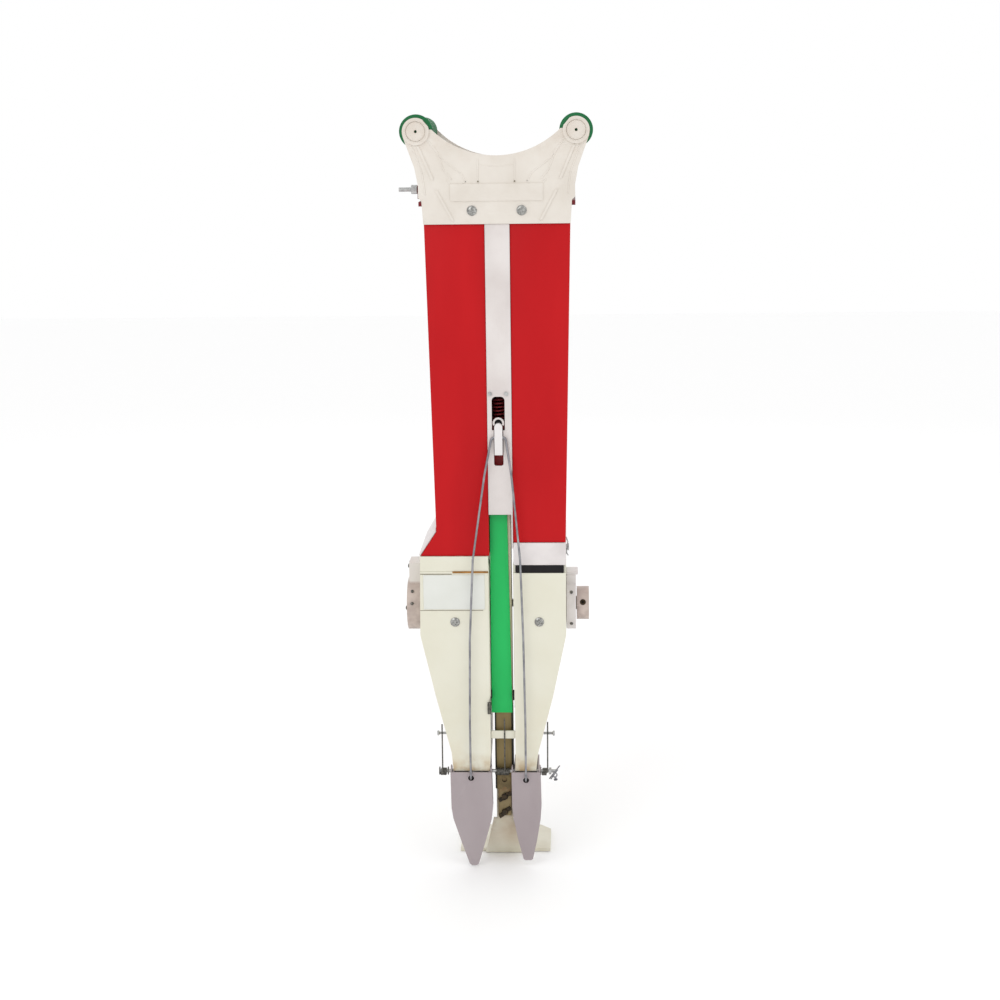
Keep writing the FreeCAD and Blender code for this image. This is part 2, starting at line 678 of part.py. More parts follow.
spring_low = slide_top
turns = cell("turns", 14)
coil_high = spring_top - spring_low - 2 * spring_wire - 0.4
helix = new("Part::Helix", Pitch=coil_high / turns, Height=coil_high, Radius=spring_radius)
ring = place(new("Part::Circle", Radius=spring_wire), spring_radius, 0, 0, ((1, 0, 0), 90))
coil = doc.addObject("Part::Sweep", "piece")
coil.Sections, coil.Spine, coil.Solid, coil.Frenet = [ring], (helix, []), True, True
spring_mid = -(slide_front + channel_front - channel_wall) / 2 + 8
place(coil, 0, spring_mid, spring_low + spring_wire + 0.2)
node("return_spring", coil)

# rack: straight 20 degree teeth towards the pinion, one gap facing it at rest
pitch_radius = module * teeth / 2
pitch_y = shaft_y - pitch_radius
tooth_pitch = module * math.pi
TAN20 = math.tan(math.radians(20))
rack_count = 13
rack = new_body("rack_bar")
rack_low = shaft_z - tooth_pitch * (rack_count - 3)
rack_root = pitch_y - module * 1.25
rack_tip = pitch_y + module
pad(rack, "XY", (rack_low, rack_low + tooth_pitch * rack_count),
    rectangle((-gear_half, gear_half), (slide_back, rack_root)))
half_tooth = tooth_pitch / 4 - backlash / 4
root_half, tip_half = half_tooth + module * 1.25 * TAN20, half_tooth - module * TAN20
mid = rack_low + tooth_pitch / 2
tooth = pad(rack, "YZ", (-gear_half, gear_half),
            polygon((rack_root - 0.4, mid - root_half), (rack_root, mid - root_half),
                    (rack_tip, mid - tip_half), (rack_tip, mid + tip_half),
                    (rack_root, mid + root_half), (rack_root - 0.4, mid + root_half)))
row = rack.newObject("PartDesign::LinearPattern", "pattern")
row.Originals = [tooth]
row.Direction = (next(f for f in rack.Origin.OriginFeatures if f.Role == "Z_Axis"), [""])
bind(row, "Length", tooth_pitch * (rack_count - 1))
row.Occurrences = rack_count
rack.Tip = row

# ---------------------------------------------------------------- foot
stem_back = -slide_front + slide_wall + stem_thick
node("foot_stem", block((-stem_half + 2, stem_half - 2), (-slide_front + slide_wall, stem_back),
                        (stem_low, slide_low + 36)))
foot = new_body("foot_plate")
tab_front = stem_back
tab_back = stem_back + foot_thick
fold_z = cell("fold_z", 58)
pad(foot, "XZ", (tab_front, tab_back), rectangle((-stem_half, stem_half), (fold_z, slide_low - 1.5)))
loft(foot, "AdditiveLoft", [(fold_z, rectangle((-fold_left, fold_right), (tab_front, tab_back))),
                            (as_size(0), rectangle((-gusset_left, gusset_right),
                                                     (foot_front - 4, foot_front + 1)))])
left, right = foot_x - foot_half, foot_x + foot_half
pad(foot, "XY", (as_size(0), foot_thick),
    polygon((left, foot_front), (right, foot_front), (right, foot_back - foot_corner),
            (right - foot_corner, foot_back), (left + foot_corner, foot_back), (left, foot_back - foot_corner)))
bolt_levels = (stem_low + 5, stem_low + 25)
for z in bolt_levels:
    pocket(foot, "XZ", (tab_front, tab_back), circle(0, z, 2.6))
stem = nodes["foot_stem"]
node("foot_stem", cut(stem, *[bar_y(2.6, 0, (-slide_front, tab_back), z) for z in bolt_levels]))
bolts = []
for z in bolt_levels:
    head = bar_y(bolt_radius, 0, (-slide_front + slide_wall - 3.4, -slide_front + slide_wall), z)
    shank = bar_y(2.5, 0, (-slide_front + slide_wall, tab_back + 6), z)
    nut = bar_y(bolt_radius, 0, (tab_back, tab_back + 3.5), z)
    bolts.append(fuse(head, shank, nut))
node("foot_bolts", group(*bolts))


# ---------------------------------------------------------------- chutes
def chute_half(name, side, top, across, front):
    """One half of a chute's casing, hollow, open above, below and towards the other half."""
    body = new_body(name)
    upper = (-chute_front, shaft_y, half_depth)
    lengthwise = (upper, upper, (-chute_front_low, low_split, middle_back),
                  (-chute_front_low, low_split, waist_back), (-chute_front_low, low_split, low_back))
    heights = (top, chute_knee_z, chute_middle_z, chute_waist_z, chute_low_z)
    levels = list(zip(heights, across, lengthwise))

    def section(x, y, inset, reach):
        face, split, back = y
        deep = (face + inset, split + reach) if front else (split - reach, back - inset)
        return rectangle(((x[0] + inset) * side, (x[1] - inset) * side), deep)

    loft(body, "AdditiveLoft", [(z, section(x, y, 0, -seam / 2)) for z, x, y in levels])
    beyond = [(top + 1,) + levels[0][1:]] + levels[1:-1] + [(chute_low_z - 1,) + levels[-1][1:]]
    loft(body, "SubtractiveLoft", [(z, section(x, y, wall, 2)) for z, x, y in beyond])
    pocket(body, "YZ", (-cover_out, cover_out), circle(shaft_y, shaft_z, shaft_radius + running))
    return body


bill_inset = plate_thick + 0.8                 # a chute's lower end fits between its flap's ears
seed_across = [(gap_left, x) for x in (seed_rim, seed_chute_half, seed_middle, seed_waist)]
seed_across.append((-seed_bill_x - seed_bill_half + bill_inset, seed_end))
fert_across = [(gap_right, x) for x in (fert_chute_half, fert_chute_half, fert_middle, fert_waist)]
fert_across.append((gap_right - 0.6, fert_end))
for word, front in (("front", True), ("rear", False)):
    body = chute_half(f"seed_chute_{word}", -1, seed_top, seed_across, front)
    outer_wall = (-seed_chute_half - 1, wall + 3 - seed_chute_half)
    window = neck_half - 2
    pocket(body, "YZ", outer_wall, rectangle((shaft_y - window, shaft_y + window),
                                             (shaft_z + 33, neck_top - 3)))
    pocket(body, "YZ", outer_wall, rectangle((shaft_y - window, shaft_y + window),
                                             (shaft_z - 26, shaft_z - 10)))
    body = chute_half(f"fertiliser_chute_{word}", 1, fert_top, fert_across, front)
    outer_wall = (fert_chute_half - wall - 1, fert_chute_half + 1)
    pocket(body, "YZ", outer_wall, circle(shaft_y, shaft_z, roller_radius + 0.6))
    if front:
        pocket(body, "XY", (band_low - seam, fert_top + 1),
               rectangle((gap_right - 1, fert_chute_half + 1), (-chute_front - 1, 4 - chute_front)))
        for x in (fert_screw_x,):
            pocket(body, "XZ", (-chute_front, wall - chute_front), circle(x, chute_screw_z, 2.5))
        pocket(nodes["seed_chute_front"], "XZ", (-chute_front, wall - chute_front),
               circle(-seed_screw_x, chute_screw_z, 2.5))
    else:
        for part_name, x in (("seed_chute_rear", -seed_screw_x), ("fertiliser_chute_rear", fert_screw_x)):
            pocket(nodes[part_name], "XZ", (half_depth - wall, half_depth), circle(x, chute_screw_z, 2.5))

screws = [screw_y(x, chute_screw_z, -chute_front, -1, wall + 5) for x in (-seed_screw_x, fert_screw_x)]
screws += [screw_y(x, chute_screw_z, half_depth, 1, wall + 5) for x in (-seed_screw_x, fert_screw_x)]
node("chute_screws", group(*screws))

gate_low = cell("gate_low", 373.3)
pocket(nodes["seed_chute_front"], "XZ", (-chute_front, 0.6 - chute_front),
       rectangle((-seed_rim, -gap_left), (gate_low + 1.5, gate_low + 2.2)))
inspection = new_body("seed_inspection_panel")
pad(inspection, "XZ", (-chute_front - panel_proud, -chute_front),
    rectangle((-panel_x, -panel_in), (panel_low, panel_top)))
node("seed_gate_plate", block((-57.6, -gap_left), (-chute_front - 1, -chute_front), (gate_low, gate_low + 2.2)))

frame_in, frame_out = gap_right + 0.1, fert_chute_half + 0.3
outer_frame = block((frame_in, frame_out), (-chute_front, half_depth), (fert_top + seam, fert_hopper_z - seam))
inner_frame = block((frame_in + wall, frame_out - wall), (wall - chute_front, half_depth - wall),
                    (fert_top, fert_hopper_z))
node("fertiliser_gate_block", cut(outer_frame, inner_frame))
node("fertiliser_brush", block((gap_right + 2.3, fert_chute_half - 2.4), (-chute_front - 0.4, 3.4 - chute_front),
                               (band_low, fert_top)))

# sloping floor that leads the seed to the wheel, and the funnel over the fertiliser roller
throat = new_body("seed_throat")
floor_in, floor_out = gap_left + wall + seam, seed_rim - wall - seam
floor_low = shaft_z + 33
floor_top = seed_top - 3
pad(throat, "XZ", (wall - chute_front + seam, half_depth - wall - seam),
    polygon((-floor_in, floor_top), (-floor_in, floor_top - wall), (-floor_out, floor_low - wall),
            (-floor_out, floor_low)))
funnel = new_body("fertiliser_throat")
funnel_top, funnel_low = fert_top - 1, shaft_z + roller_radius + 1.2
front_in, back_in = 4 - chute_front + seam + 1, half_depth - wall - seam
wide = (gap_right + wall + seam, fert_chute_half - wall - seam)
narrow = (roller_in + 1, roller_out + 9)
loft(funnel, "AdditiveLoft", [(funnel_top, rectangle(wide, (front_in, back_in))),
                              (funnel_low, rectangle(narrow, (shaft_y - 16, shaft_y + 16)))])
loft(funnel, "SubtractiveLoft",
     [(funnel_top + 0.5, rectangle((wide[0] + 2, wide[1] - 2), (front_in + 2, back_in - 2))),
      (funnel_low - 0.5, rectangle((narrow[0] + 2, narrow[1] - 2), (shaft_y - 14, shaft_y + 14)))])

rails = []
for side in (-1, 1):
    low, high = (-gap_left, rail_thick - gap_left) if side < 0 else (gap_right - rail_thick, gap_right)
    rails.append(block((low, high), (-56, -30), (rail_low, rail_top)))
node("guide_rails", group(*rails))
strap_low = cell("strap_low", 166.6)
strap_high = cell("strap_high", 9.8)
strap_y = cell("strap_y", -57.6)
strap = block((0.3 - gap_left, gap_right - 0.3), (strap_y, strap_y + 2.4),
              (strap_low, strap_low + strap_high))
node("guide_strap", strap)


# ---------------------------------------------------------------- seed wheel cover and housing
def hollow_drum(name, side, face, out, thick, extra_outer, extra_inner, bores):
    """A round moulded housing beside a chute, open towards it."""
    span = (face, out) if side > 0 else (-out, -face)
    inner = (face, out - thick) if side > 0 else (thick - out, -face)
    shell = fuse(bar_x(drum_radius, span, shaft_y, shaft_z), *extra_outer)
    return node(name, cut(shell, bar_x(drum_radius - thick, inner, shaft_y, shaft_z), *extra_inner, *bores))


seed_face = seed_chute_half + seam
neck_y = (shaft_y - neck_half, shaft_y + neck_half)
neck = block((-neck_out, -seed_face), neck_y, (shaft_z + 10, neck_top))
neck_hollow = block((2 - neck_out, -seed_face), (neck_y[0] + 2, neck_y[1] - 2), (shaft_z + 12, neck_top - 2))
boss = bar_x(shaft_radius + 3, (-cover_out - 0.01, 2.2 - cover_out), shaft_y, shaft_z)
hollow_drum("seed_wheel_cover", -1, seed_face, cover_out, 2, [neck, boss], [neck_hollow],
            [bar_x(shaft_radius + running, (-cover_out + 0.9, -seed_face), shaft_y, shaft_z)])
fert_face = fert_chute_half + seam
flange = block((fert_face, housing_flange), (shaft_y - flange_half, shaft_y + flange_half),
               (flange_low, flange_top))
stalk = block((fert_face, housing_out), (shaft_y - 14, shaft_y + 14), (shaft_z + 20, flange_low))
hollow_drum("fertiliser_housing", 1, fert_face, housing_out, wall, [flange, stalk], [],
            [bar_x(sleeve_radius + running, (fert_face, housing_out + 1), shaft_y, shaft_z)])

# ---------------------------------------------------------------- shaft, pinion, wheel, roller, knob
node("metering_shaft", bar_x(shaft_radius, (1.2 - cover_out, knob_out - 1), shaft_y, shaft_z))
pinion = new_body("drive_pinion")
outer_radius, root_radius = pitch_radius + module, pitch_radius - module * 1.25
hub = pad(pinion, "YZ", (-gear_half, gear_half), circle(0, 0, root_radius))
# a tooth on the -Y side, its flanks drawn straight through the pitch point
at_pitch = tooth_pitch / 4 - backlash / 4
at_root, at_tip = at_pitch + module * 0.3, at_pitch - module * 0.62
tooth = pad(pinion, "YZ", (-gear_half, gear_half),
            polygon((-(root_radius - 0.6), -at_root), (-(root_radius + 0.2), -at_root),
                    (-pitch_radius, -at_pitch), (-outer_radius, -at_tip), (-outer_radius, at_tip),
                    (-pitch_radius, at_pitch), (-(root_radius + 0.2), at_root),
                    (-(root_radius - 0.6), at_root)))
polar(pinion, tooth, teeth, tooth.Profile[0])
pocket(pinion, "YZ", (-gear_half, gear_half), circle(0, 0, shaft_radius + running))
place(pinion, 0, shaft_y, shaft_z)

wheel = new_body("seed_wheel")
wheel_mid = (seed_face + cover_out - 2) / 2
wheel_span = (-wheel_mid - wheel_thick / 2, wheel_thick / 2 - wheel_mid)
pad(wheel, "YZ", wheel_span, circle(0, 0, wheel_radius))
bite = pocket(wheel, "YZ", wheel_span, circle(0, wheel_radius - 1.5, cell_radius))
polar(wheel, bite, as_size(4), bite.Profile[0])
pocket(wheel, "YZ", wheel_span, circle(0, 0, shaft_radius + running))
place(wheel, 0, shaft_y, shaft_z)

roller = new_body("fertiliser_roller")
pad(roller, "YZ", (roller_in, roller_out), circle(0, 0, roller_radius))
flute = pocket(roller, "YZ", (roller_in, roller_out), circle(0, roller_radius + 0.5, 4.2))
polar(roller, flute, as_size(8), flute.Profile[0])
pad(roller, "YZ", (roller_out, knob_in), circle(0, 0, sleeve_radius))
pocket(roller, "YZ", (roller_in, knob_in), circle(0, 0, shaft_radius + running))
place(roller, 0, shaft_y, shaft_z)

knob = new_body("adjusting_knob")
pad(knob, "YZ", (knob_in, knob_out), circle(0, 0, knob_radius))
pocket(knob, "YZ", (knob_in, knob_out), circle(0, 0, shaft_radius + running))
knob_mid = (knob_in + knob_out) / 2
pocket(knob, "XZ", (-knob_radius - 1, -shaft_radius), circle(knob_mid, 0, set_screw_radius + running))
set_screw = cut(bar_y(set_screw_radius, knob_mid, (1.6 - knob_radius, -shaft_radius - 0.6), as_size(0)),
                bar_y(1.6, knob_mid, (1.5 - knob_radius, 6 - knob_radius), as_size(0)))
node("knob_set_screw", set_screw)
for piece in (knob, set_screw):
    place(piece, 0, shaft_y, shaft_z, ((-1, 0, 0), set_screw_tilt.value))
    bind(piece, ".Placement.Rotation.Angle", set_screw_tilt)


# ---------------------------------------------------------------- duckbills
def bill_levels(half, reach, shape):
    """(distance below the axle, half width, depth) down a bill, from shares of its size."""
    return [(reach * down, half * across, deep) for down, across, deep in shape]


def flap(name, centre, half, reach, shape, skew, drop):
    """A folded steel flap hung on the axle: plate, side folds and ears. Drawn upright about the axle."""
    body = new_body(name)
    face = -plate_front
    levels = [(as_size(3), half, 12.4, centre), (as_size(0), half, 15.4, centre)]
    for down, wide, deep in bill_levels(half, reach, shape):
        levels.append((-down, wide, deep, centre + skew * (down.value / reach.value)))
    loft(body, "AdditiveLoft", [(z, rectangle((x - wide, x + wide), (face, face + deep)))
                                for z, wide, deep, x in levels])
    inner = [(as_size(4),) + levels[0][1:]] + levels[1:-1]
    inner.append((levels[-1][0] + plate_thick,) + levels[-1][1:])
    loft(body, "SubtractiveLoft",
         [(z, rectangle((x - wide + plate_thick, x + wide - plate_thick), (face + plate_thick, face + deep + 2)))
          for z, wide, deep, x in inner])
    for side in (-1, 1):
        low, high = (centre - half, centre - half + plate_thick) if side < 0 else (
            centre + half - plate_thick, centre + half)
        pad(body, "YZ", (low, high), polygon((face, -14), (4.2, -14), (4.8, -2), (4.4, 4), (2, 7.2), (-3, 7.2), (face, 0)))
    pocket(body, "YZ", (centre - half - 1, centre + half + 1), circle(0, 0, axle_radius + running))
    pocket(body, "XZ", (face - 1, face + plate_thick + 1), circle(centre, -drop, hook_hole))
    place(body, 0, axle_y, axle_z, ((1, 0, 0), bill_lean.value))
    bind(body, ".Placement.Rotation.Angle", bill_lean)
    return body


def jaw(name, centre, half, reach, shape, skew, back):
    """The fixed rear half of a duckbill, nested in the flap and hung under its chute."""
    body = new_body(name)
    inset = plate_thick + ear_gap
    lean = math.tan(math.radians(bill_lean.value))
    face = axle_y - plate_front + plate_thick + 1.2
    rears = (axle_y + 27, axle_y + 22, axle_y + 14.5, axle_y + 10.4)
    levels = [(chute_low_z - seam, half - inset, back, centre)]
    for (down, wide, deep), rear in zip(bill_levels(half, reach, shape), rears):
        levels.append((axle_z - down, wide - inset, rear, centre + skew * (down.value / reach.value)))

    def section(z, wide, rear, x, shrink, forward):
        front = face + (axle_z - z) * lean - forward
        return z, rectangle((x - wide + shrink, x + wide - shrink), (front, rear - shrink))

    loft(body, "AdditiveLoft", [section(*level, 0, 0) for level in levels])
    cavity = [(levels[0][0] + 1,) + levels[0][1:]] + levels[1:-1]
    cavity.append((levels[-1][0] + 1.5,) + levels[-1][1:])
    loft(body, "SubtractiveLoft", [section(*level, 1.5, 4) for level in cavity])
    pocket(body, "YZ", (centre - half - 1, centre + half + 1), circle(axle_y, axle_z, axle_radius + running))
    return body


# shares of a bill's length and half width, and the depth of its folds
seed_shape = ((0.36, 1.016, 11), (0.48, 0.945, 9), (0.72, 0.61, 6), (0.945, 0.28, 3.6), (0.985, 0.22, 3), (1, 0.12, 2.6))
fert_shape = ((0.37, 1.02, 11), (0.51, 0.94, 9), (0.76, 0.66, 6), (0.95, 0.38, 3.6), (0.985, 0.33, 3), (1, 0.2, 2.6))
skew = cell("skew", 1.4)                       # the tips' shift towards +X
flap("seed_flap", seed_bill_x, seed_bill_half, seed_bill_long, seed_shape, skew, seed_hook_drop)
flap("fertiliser_flap", fert_bill_x, fert_bill_half, fert_bill_long, fert_shape, skew, fert_hook_drop)
jaw("seed_jaw", seed_bill_x, seed_bill_half, seed_bill_long, seed_shape, skew, low_back)
jaw("fertiliser_jaw", fert_bill_x, fert_bill_half, fert_bill_long, fert_shape, skew, low_back)

node("jaw_axle", bar_x(axle_radius, (-axle_left, axle_right), axle_y, axle_z))
collar = cut(bar_x(4.2, (axle_right - 9, axle_right - 6), axle_y, axle_z),
             bar_x(axle_radius + running, (axle_right - 9, axle_right - 6), axle_y, axle_z))
node("axle_collar", collar)

anchor_z = cell("anchor_z", 173)
anchor_y = cell("anchor_y", -55.6)
anchor_radius = cell("anchor_radius", 1.8)
coil_drop = coil_radius - 2 * coil_wire - axle_radius - 0.05   # the coils hang on the axle
coils, anchors = [], []
for centre, long_coil, leg_x, leg_top in ((-73, 8.4, -74.2, anchor_z + 12), (-1.7, 18.6, 1, anchor_z + 19),
                                          (48.8, 7, 52.6, anchor_z + 15)):
    span = (as_size(centre - long_coil / 2), as_size(centre + long_coil / 2))
    sleeve = cut(bar_x(coil_radius, span, axle_y, axle_z - coil_drop),
                 bar_x(coil_radius - 2 * coil_wire, span, axle_y, axle_z - coil_drop))
    leg = bar_z(coil_wire, leg_x, axle_y - coil_radius + coil_wire, (axle_z, leg_top))
    coils.append(fuse(sleeve, leg))
node("torsion_springs", group(*coils))
share = (anchor_z - chute_waist_z) / (chute_middle_z - chute_waist_z)
for side, chute, waist, middle, reach in ((-1, "seed", seed_waist, seed_middle, 11.5),
                                          (1, "fertiliser", fert_waist, fert_middle, 14)):
    face = waist + (middle - waist) * share
    pocket(nodes[f"{chute}_chute_front"], "YZ", ((face - wall - 3) * side, (face + 3) * side)[::side],
           circle(anchor_y, anchor_z, anchor_radius + running))
    low, high = (-face - reach, wall - face) if side < 0 else (face - wall, face + reach)
    head = (-face - reach, 3 - face - reach) if side < 0 else (face + reach - 3, face + reach)
    anchors.append(fuse(bar_x(anchor_radius, (low, high), anchor_y, anchor_z), bar_x(3.2, head, anchor_y, anchor_z)))
node("spring_anchor_screws", group(*anchors))


# ---------------------------------------------------------------- pull wires
def wire(points, radius):
    """A bent wire: straight runs with round bends between the listed points."""
    runs, last = [], points[0]
    for before, corner, after in zip(points, points[1:], points[2:]):
        into, out = (corner - before).normalize(), (after - corner).normalize()
        turn = into.getAngle(out)
        bend = min(4 * radius, 0.45 * min((corner - before).Length, (after - corner).Length)
                   / math.tan(turn / 2))
        back = bend * math.tan(turn / 2)
        start, end = corner - into * back, corner + out * back
        middle = corner + (out - into).normalize() * (bend / math.cos(turn / 2) - bend)
        runs += [Part.LineSegment(last, start).toShape(), Part.Arc(start, middle, end).toShape()]
        last = end
    runs.append(Part.LineSegment(last, points[-1]).toShape())
    path = Part.Wire(runs)
    ring = Part.Wire([Part.makeCircle(radius, points[0], points[1] - points[0])])
    return path.makePipeShell([ring], True, False)


wire_y = (axle_y - plate_front).value - 4
hook_inside = (axle_y - plate_front + plate_thick).value + 2.6
lean = math.radians(bill_lean.value)
hook_level = hook_z.value - 0.05
for word, side, hole_x, drop, corner_x, upper_x, middle_x, lower_x in (
        ("left", -1, seed_bill_x.value, seed_hook_drop, -9.4, -18, -33, -38),
        ("right", 1, fert_bill_x.value, fert_hook_drop, 6.8, 13.3, 22.4, 25.2)):
    hole_level = axle_z.value - drop.value * math.cos(lean) - plate_front.value * math.sin(lean)
    path = [Vector(slot_x.value + side * 0.4, pin_y.value, hook_level), Vector(corner_x, pin_y.value, hook_level),
            Vector(upper_x, wire_y, 492), Vector(middle_x, wire_y, 391), Vector(lower_x, wire_y, 293),
            Vector(hole_x, wire_y, 190), Vector(hole_x, wire_y, hole_level),
            Vector(hole_x, hook_inside, hole_level)]
    strand = doc.addObject("Part::Feature", "piece")
    strand.Shape = wire(path, wire_radius.value)
    node(f"pull_wire_{word}", strand)

# ---------------------------------------------------------------- check and write
doc.recompute()
for thing in doc.Objects:
    if "Invalid" in thing.State or "Error" in thing.State:
        raise RuntimeError(f"{thing.Label} did not build: {thing.State}")
os.makedirs("parts", exist_ok=True)
for name, thing in nodes.items():
    if thing.Shape.isNull() or not thing.Shape.isValid():
        raise RuntimeError(f"{name} has no valid shape")
    thing.Shape.exportStep(f"parts/{name}.step")
print(len(nodes), "nodes written")
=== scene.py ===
import json
import math
import bpy
from mathutils import Matrix, Quaternion, Vector


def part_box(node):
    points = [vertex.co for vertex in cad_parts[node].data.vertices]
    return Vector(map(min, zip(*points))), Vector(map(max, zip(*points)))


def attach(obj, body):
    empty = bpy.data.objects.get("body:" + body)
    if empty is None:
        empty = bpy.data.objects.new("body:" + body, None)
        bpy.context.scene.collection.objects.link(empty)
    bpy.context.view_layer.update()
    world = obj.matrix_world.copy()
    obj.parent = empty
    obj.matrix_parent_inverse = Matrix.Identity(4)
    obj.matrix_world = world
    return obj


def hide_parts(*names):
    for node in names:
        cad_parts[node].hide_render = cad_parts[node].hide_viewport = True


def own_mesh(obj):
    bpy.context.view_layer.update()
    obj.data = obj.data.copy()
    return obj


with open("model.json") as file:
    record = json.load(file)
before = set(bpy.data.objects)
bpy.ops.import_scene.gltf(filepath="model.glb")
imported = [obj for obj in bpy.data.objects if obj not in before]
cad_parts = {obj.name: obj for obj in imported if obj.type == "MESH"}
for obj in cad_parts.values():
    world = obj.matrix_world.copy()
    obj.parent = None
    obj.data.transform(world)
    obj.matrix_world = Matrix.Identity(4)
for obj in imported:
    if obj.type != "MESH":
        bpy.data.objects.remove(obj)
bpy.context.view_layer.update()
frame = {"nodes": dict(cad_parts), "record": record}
MM = 0.001
TURN = 2 * math.pi
UPRIGHT = (math.pi / 2, 0, 0)      # turns a flat ring to face along Y
RELIEF = 0.6 * MM                  # how deep the grain's bump is

# ------------------------------------------------------------------ finishes
made = {}


def tree_of(name):
    mat = bpy.data.materials.new(name)
    mat.use_nodes = True
    made[name] = mat
    return mat, mat.node_tree.nodes, mat.node_tree.links


def object_noise(nodes, links, scale, detail=3.0, stretch=(1, 1, 1)):
    """Noise on Object coordinates, scale in cells a metre."""
    place = nodes.new("ShaderNodeTexCoord")
    turn = nodes.new("ShaderNodeMapping")
    turn.inputs["Scale"].default_value = stretch
    noise = nodes.new("ShaderNodeTexNoise")
    noise.inputs["Scale"].default_value = scale
    noise.inputs["Detail"].default_value = detail
    links.new(place.outputs["Object"], turn.inputs["Vector"])
    links.new(turn.outputs["Vector"], noise.inputs["Vector"])
    return noise.outputs["Fac"]


def spread(nodes, links, value, low, high, to_low=0.0, to_high=1.0):
    ramp = nodes.new("ShaderNodeMapRange")
    for key, number in (("From Min", low), ("From Max", high),
                        ("To Min", to_low), ("To Max", to_high)):
        ramp.inputs[key].default_value = number
    links.new(value, ramp.inputs["Value"])
    return ramp.outputs["Result"]


def tinted(nodes, links, factor, under, over):
    """Mixes two colours, each an RGB tuple or a socket."""
    mix = nodes.new("ShaderNodeMix")
    mix.data_type = "RGBA"
    links.new(factor, mix.inputs["Factor"])
    for key, colour in (("A", under), ("B", over)):
        socket = [s for s in mix.inputs if s.name == key and s.type == "RGBA"][0]
        if isinstance(colour, tuple):
            socket.default_value = (*colour, 1)
        else:
            links.new(colour, socket)
    return [s for s in mix.outputs if s.type == "RGBA"][0]


def height(nodes, links, axis="Z"):
    place = nodes.new("ShaderNodeTexCoord")
    parts = nodes.new("ShaderNodeSeparateXYZ")
    links.new(place.outputs["Object"], parts.inputs["Vector"])
    return parts.outputs[axis]


def times(nodes, links, a, b):
    node = nodes.new("ShaderNodeMath")
    node.operation = "MULTIPLY"
    for index, item in enumerate((a, b)):
        if isinstance(item, float):
            node.inputs[index].default_value = item
        else:
            links.new(item, node.inputs[index])
    return node.outputs[0]


def finish_of(name, colour, shade, rough=(0.35, 0.5), metal=0.0, blotch=18.0, grain=900.0,
              bump=0.08, stretch=(1, 1, 1), stains_and_painted_shade=(), gloss=0.3):
    """A surface with cloudy colour, fine grain and uneven gloss.

    blotch and grain are in cells a metre. stains_and_painted_shade is a list of (axis, band start,
    full at, strength, colour, noise scale) for real stains, two-tone bands and painted shade,
    with a scale of 0 for an even coat."""
    mat, nodes, links = tree_of(name)
    shader = nodes["Principled BSDF"]
    clouds = object_noise(nodes, links, blotch, 4.0, stretch)
    tone = tinted(nodes, links, spread(nodes, links, clouds, 0.35, 0.68), colour, shade)
    for axis, band_start, full, strength, stain_and_shade_colour, scale in stains_and_painted_shade:
        reach = spread(nodes, links, height(nodes, links, axis), band_start, full)
        if scale:
            reach = times(nodes, links, reach,
                          spread(nodes, links, object_noise(nodes, links, scale, 5.0), 0.36, 0.62))
        amount = times(nodes, links, reach, strength)
        tone = tinted(nodes, links, amount, tone, stain_and_shade_colour)
    links.new(tone, shader.inputs["Base Color"])
    fine = object_noise(nodes, links, grain, 2.0, stretch)
    links.new(spread(nodes, links, fine, 0.3, 0.7, rough[0], rough[1]), shader.inputs["Roughness"])
    shader.inputs["Metallic"].default_value = metal
    shader.inputs["Specular IOR Level"].default_value = gloss
    relief = nodes.new("ShaderNodeBump")
    relief.inputs["Strength"].default_value = bump
    relief.inputs["Distance"].default_value = RELIEF
    links.new(fine, relief.inputs["Height"])
    links.new(relief.outputs["Normal"], shader.inputs["Normal"])
    return mat


TAN = (0.42, 0.27, 0.11)
RUST = (0.20, 0.075, 0.025)
GRIME = (0.045, 0.038, 0.032)
FADED = (0.60, 0.50, 0.42)

# mouldings
finish_of("cream_plastic", (0.72, 0.70, 0.60), (0.64, 0.62, 0.51), (0.32, 0.5), bump=0.05)
finish_of("yoke_plastic", (0.73, 0.685, 0.625), (0.67, 0.62, 0.555), (0.32, 0.5), bump=0.06,
          blotch=30, stains_and_painted_shade=[("Z", 0.842, 0.868, 0.30, FADED, 90.0)])
finish_of("chute_plastic", (0.735, 0.72, 0.615), (0.69, 0.67, 0.55), (0.3, 0.48), bump=0.05,
          blotch=10, stains_and_painted_shade=[("Z", 0.150, 0.127, 0.85, TAN, 70.0),
                             ("Z", 0.24, 0.13, 0.30, (0.60, 0.50, 0.32), 25.0)])
finish_of("panel_plastic", (0.72, 0.73, 0.69), (0.67, 0.68, 0.63), (0.3, 0.45), bump=0.05)
finish_of("pink_plastic", (0.58, 0.49, 0.44), (0.44, 0.36, 0.325), (0.3, 0.5), bump=0.06,
          blotch=60, stains_and_painted_shade=[("Z", 0.345, 0.290, 0.35, (0.26, 0.20, 0.18), 120.0),
                             ("Z", 0.350, 0.353, 1.0, (0.70, 0.66, 0.62), 0)])
finish_of("pale_plastic", (0.73, 0.69, 0.68), (0.64, 0.60, 0.59), (0.3, 0.48), bump=0.05,
          blotch=40)
finish_of("red_plastic", (0.50, 0.012, 0.018), (0.40, 0.008, 0.013), (0.35, 0.5), bump=0.08,
          blotch=12)
finish_of("dark_red_plastic", (0.17, 0.006, 0.010), (0.10, 0.004, 0.007), (0.35, 0.55), bump=0.1)
finish_of("grip_rubber", (0.004, 0.150, 0.045), (0.003, 0.105, 0.030), (0.42, 0.6), bump=0.15)
finish_of("green_sleeve_plastic", (0.012, 0.50, 0.115), (0.009, 0.45, 0.100), (0.36, 0.46),
          bump=0.03, blotch=22, stretch=(1, 1, 0.4))
finish_of("black_plastic", (0.010, 0.009, 0.010), (0.020, 0.018, 0.019), (0.45, 0.6), bump=0.08,
          gloss=0.12)
finish_of("wheel_plastic", (0.62, 0.52, 0.30), (0.54, 0.44, 0.24), (0.35, 0.5), bump=0.06)
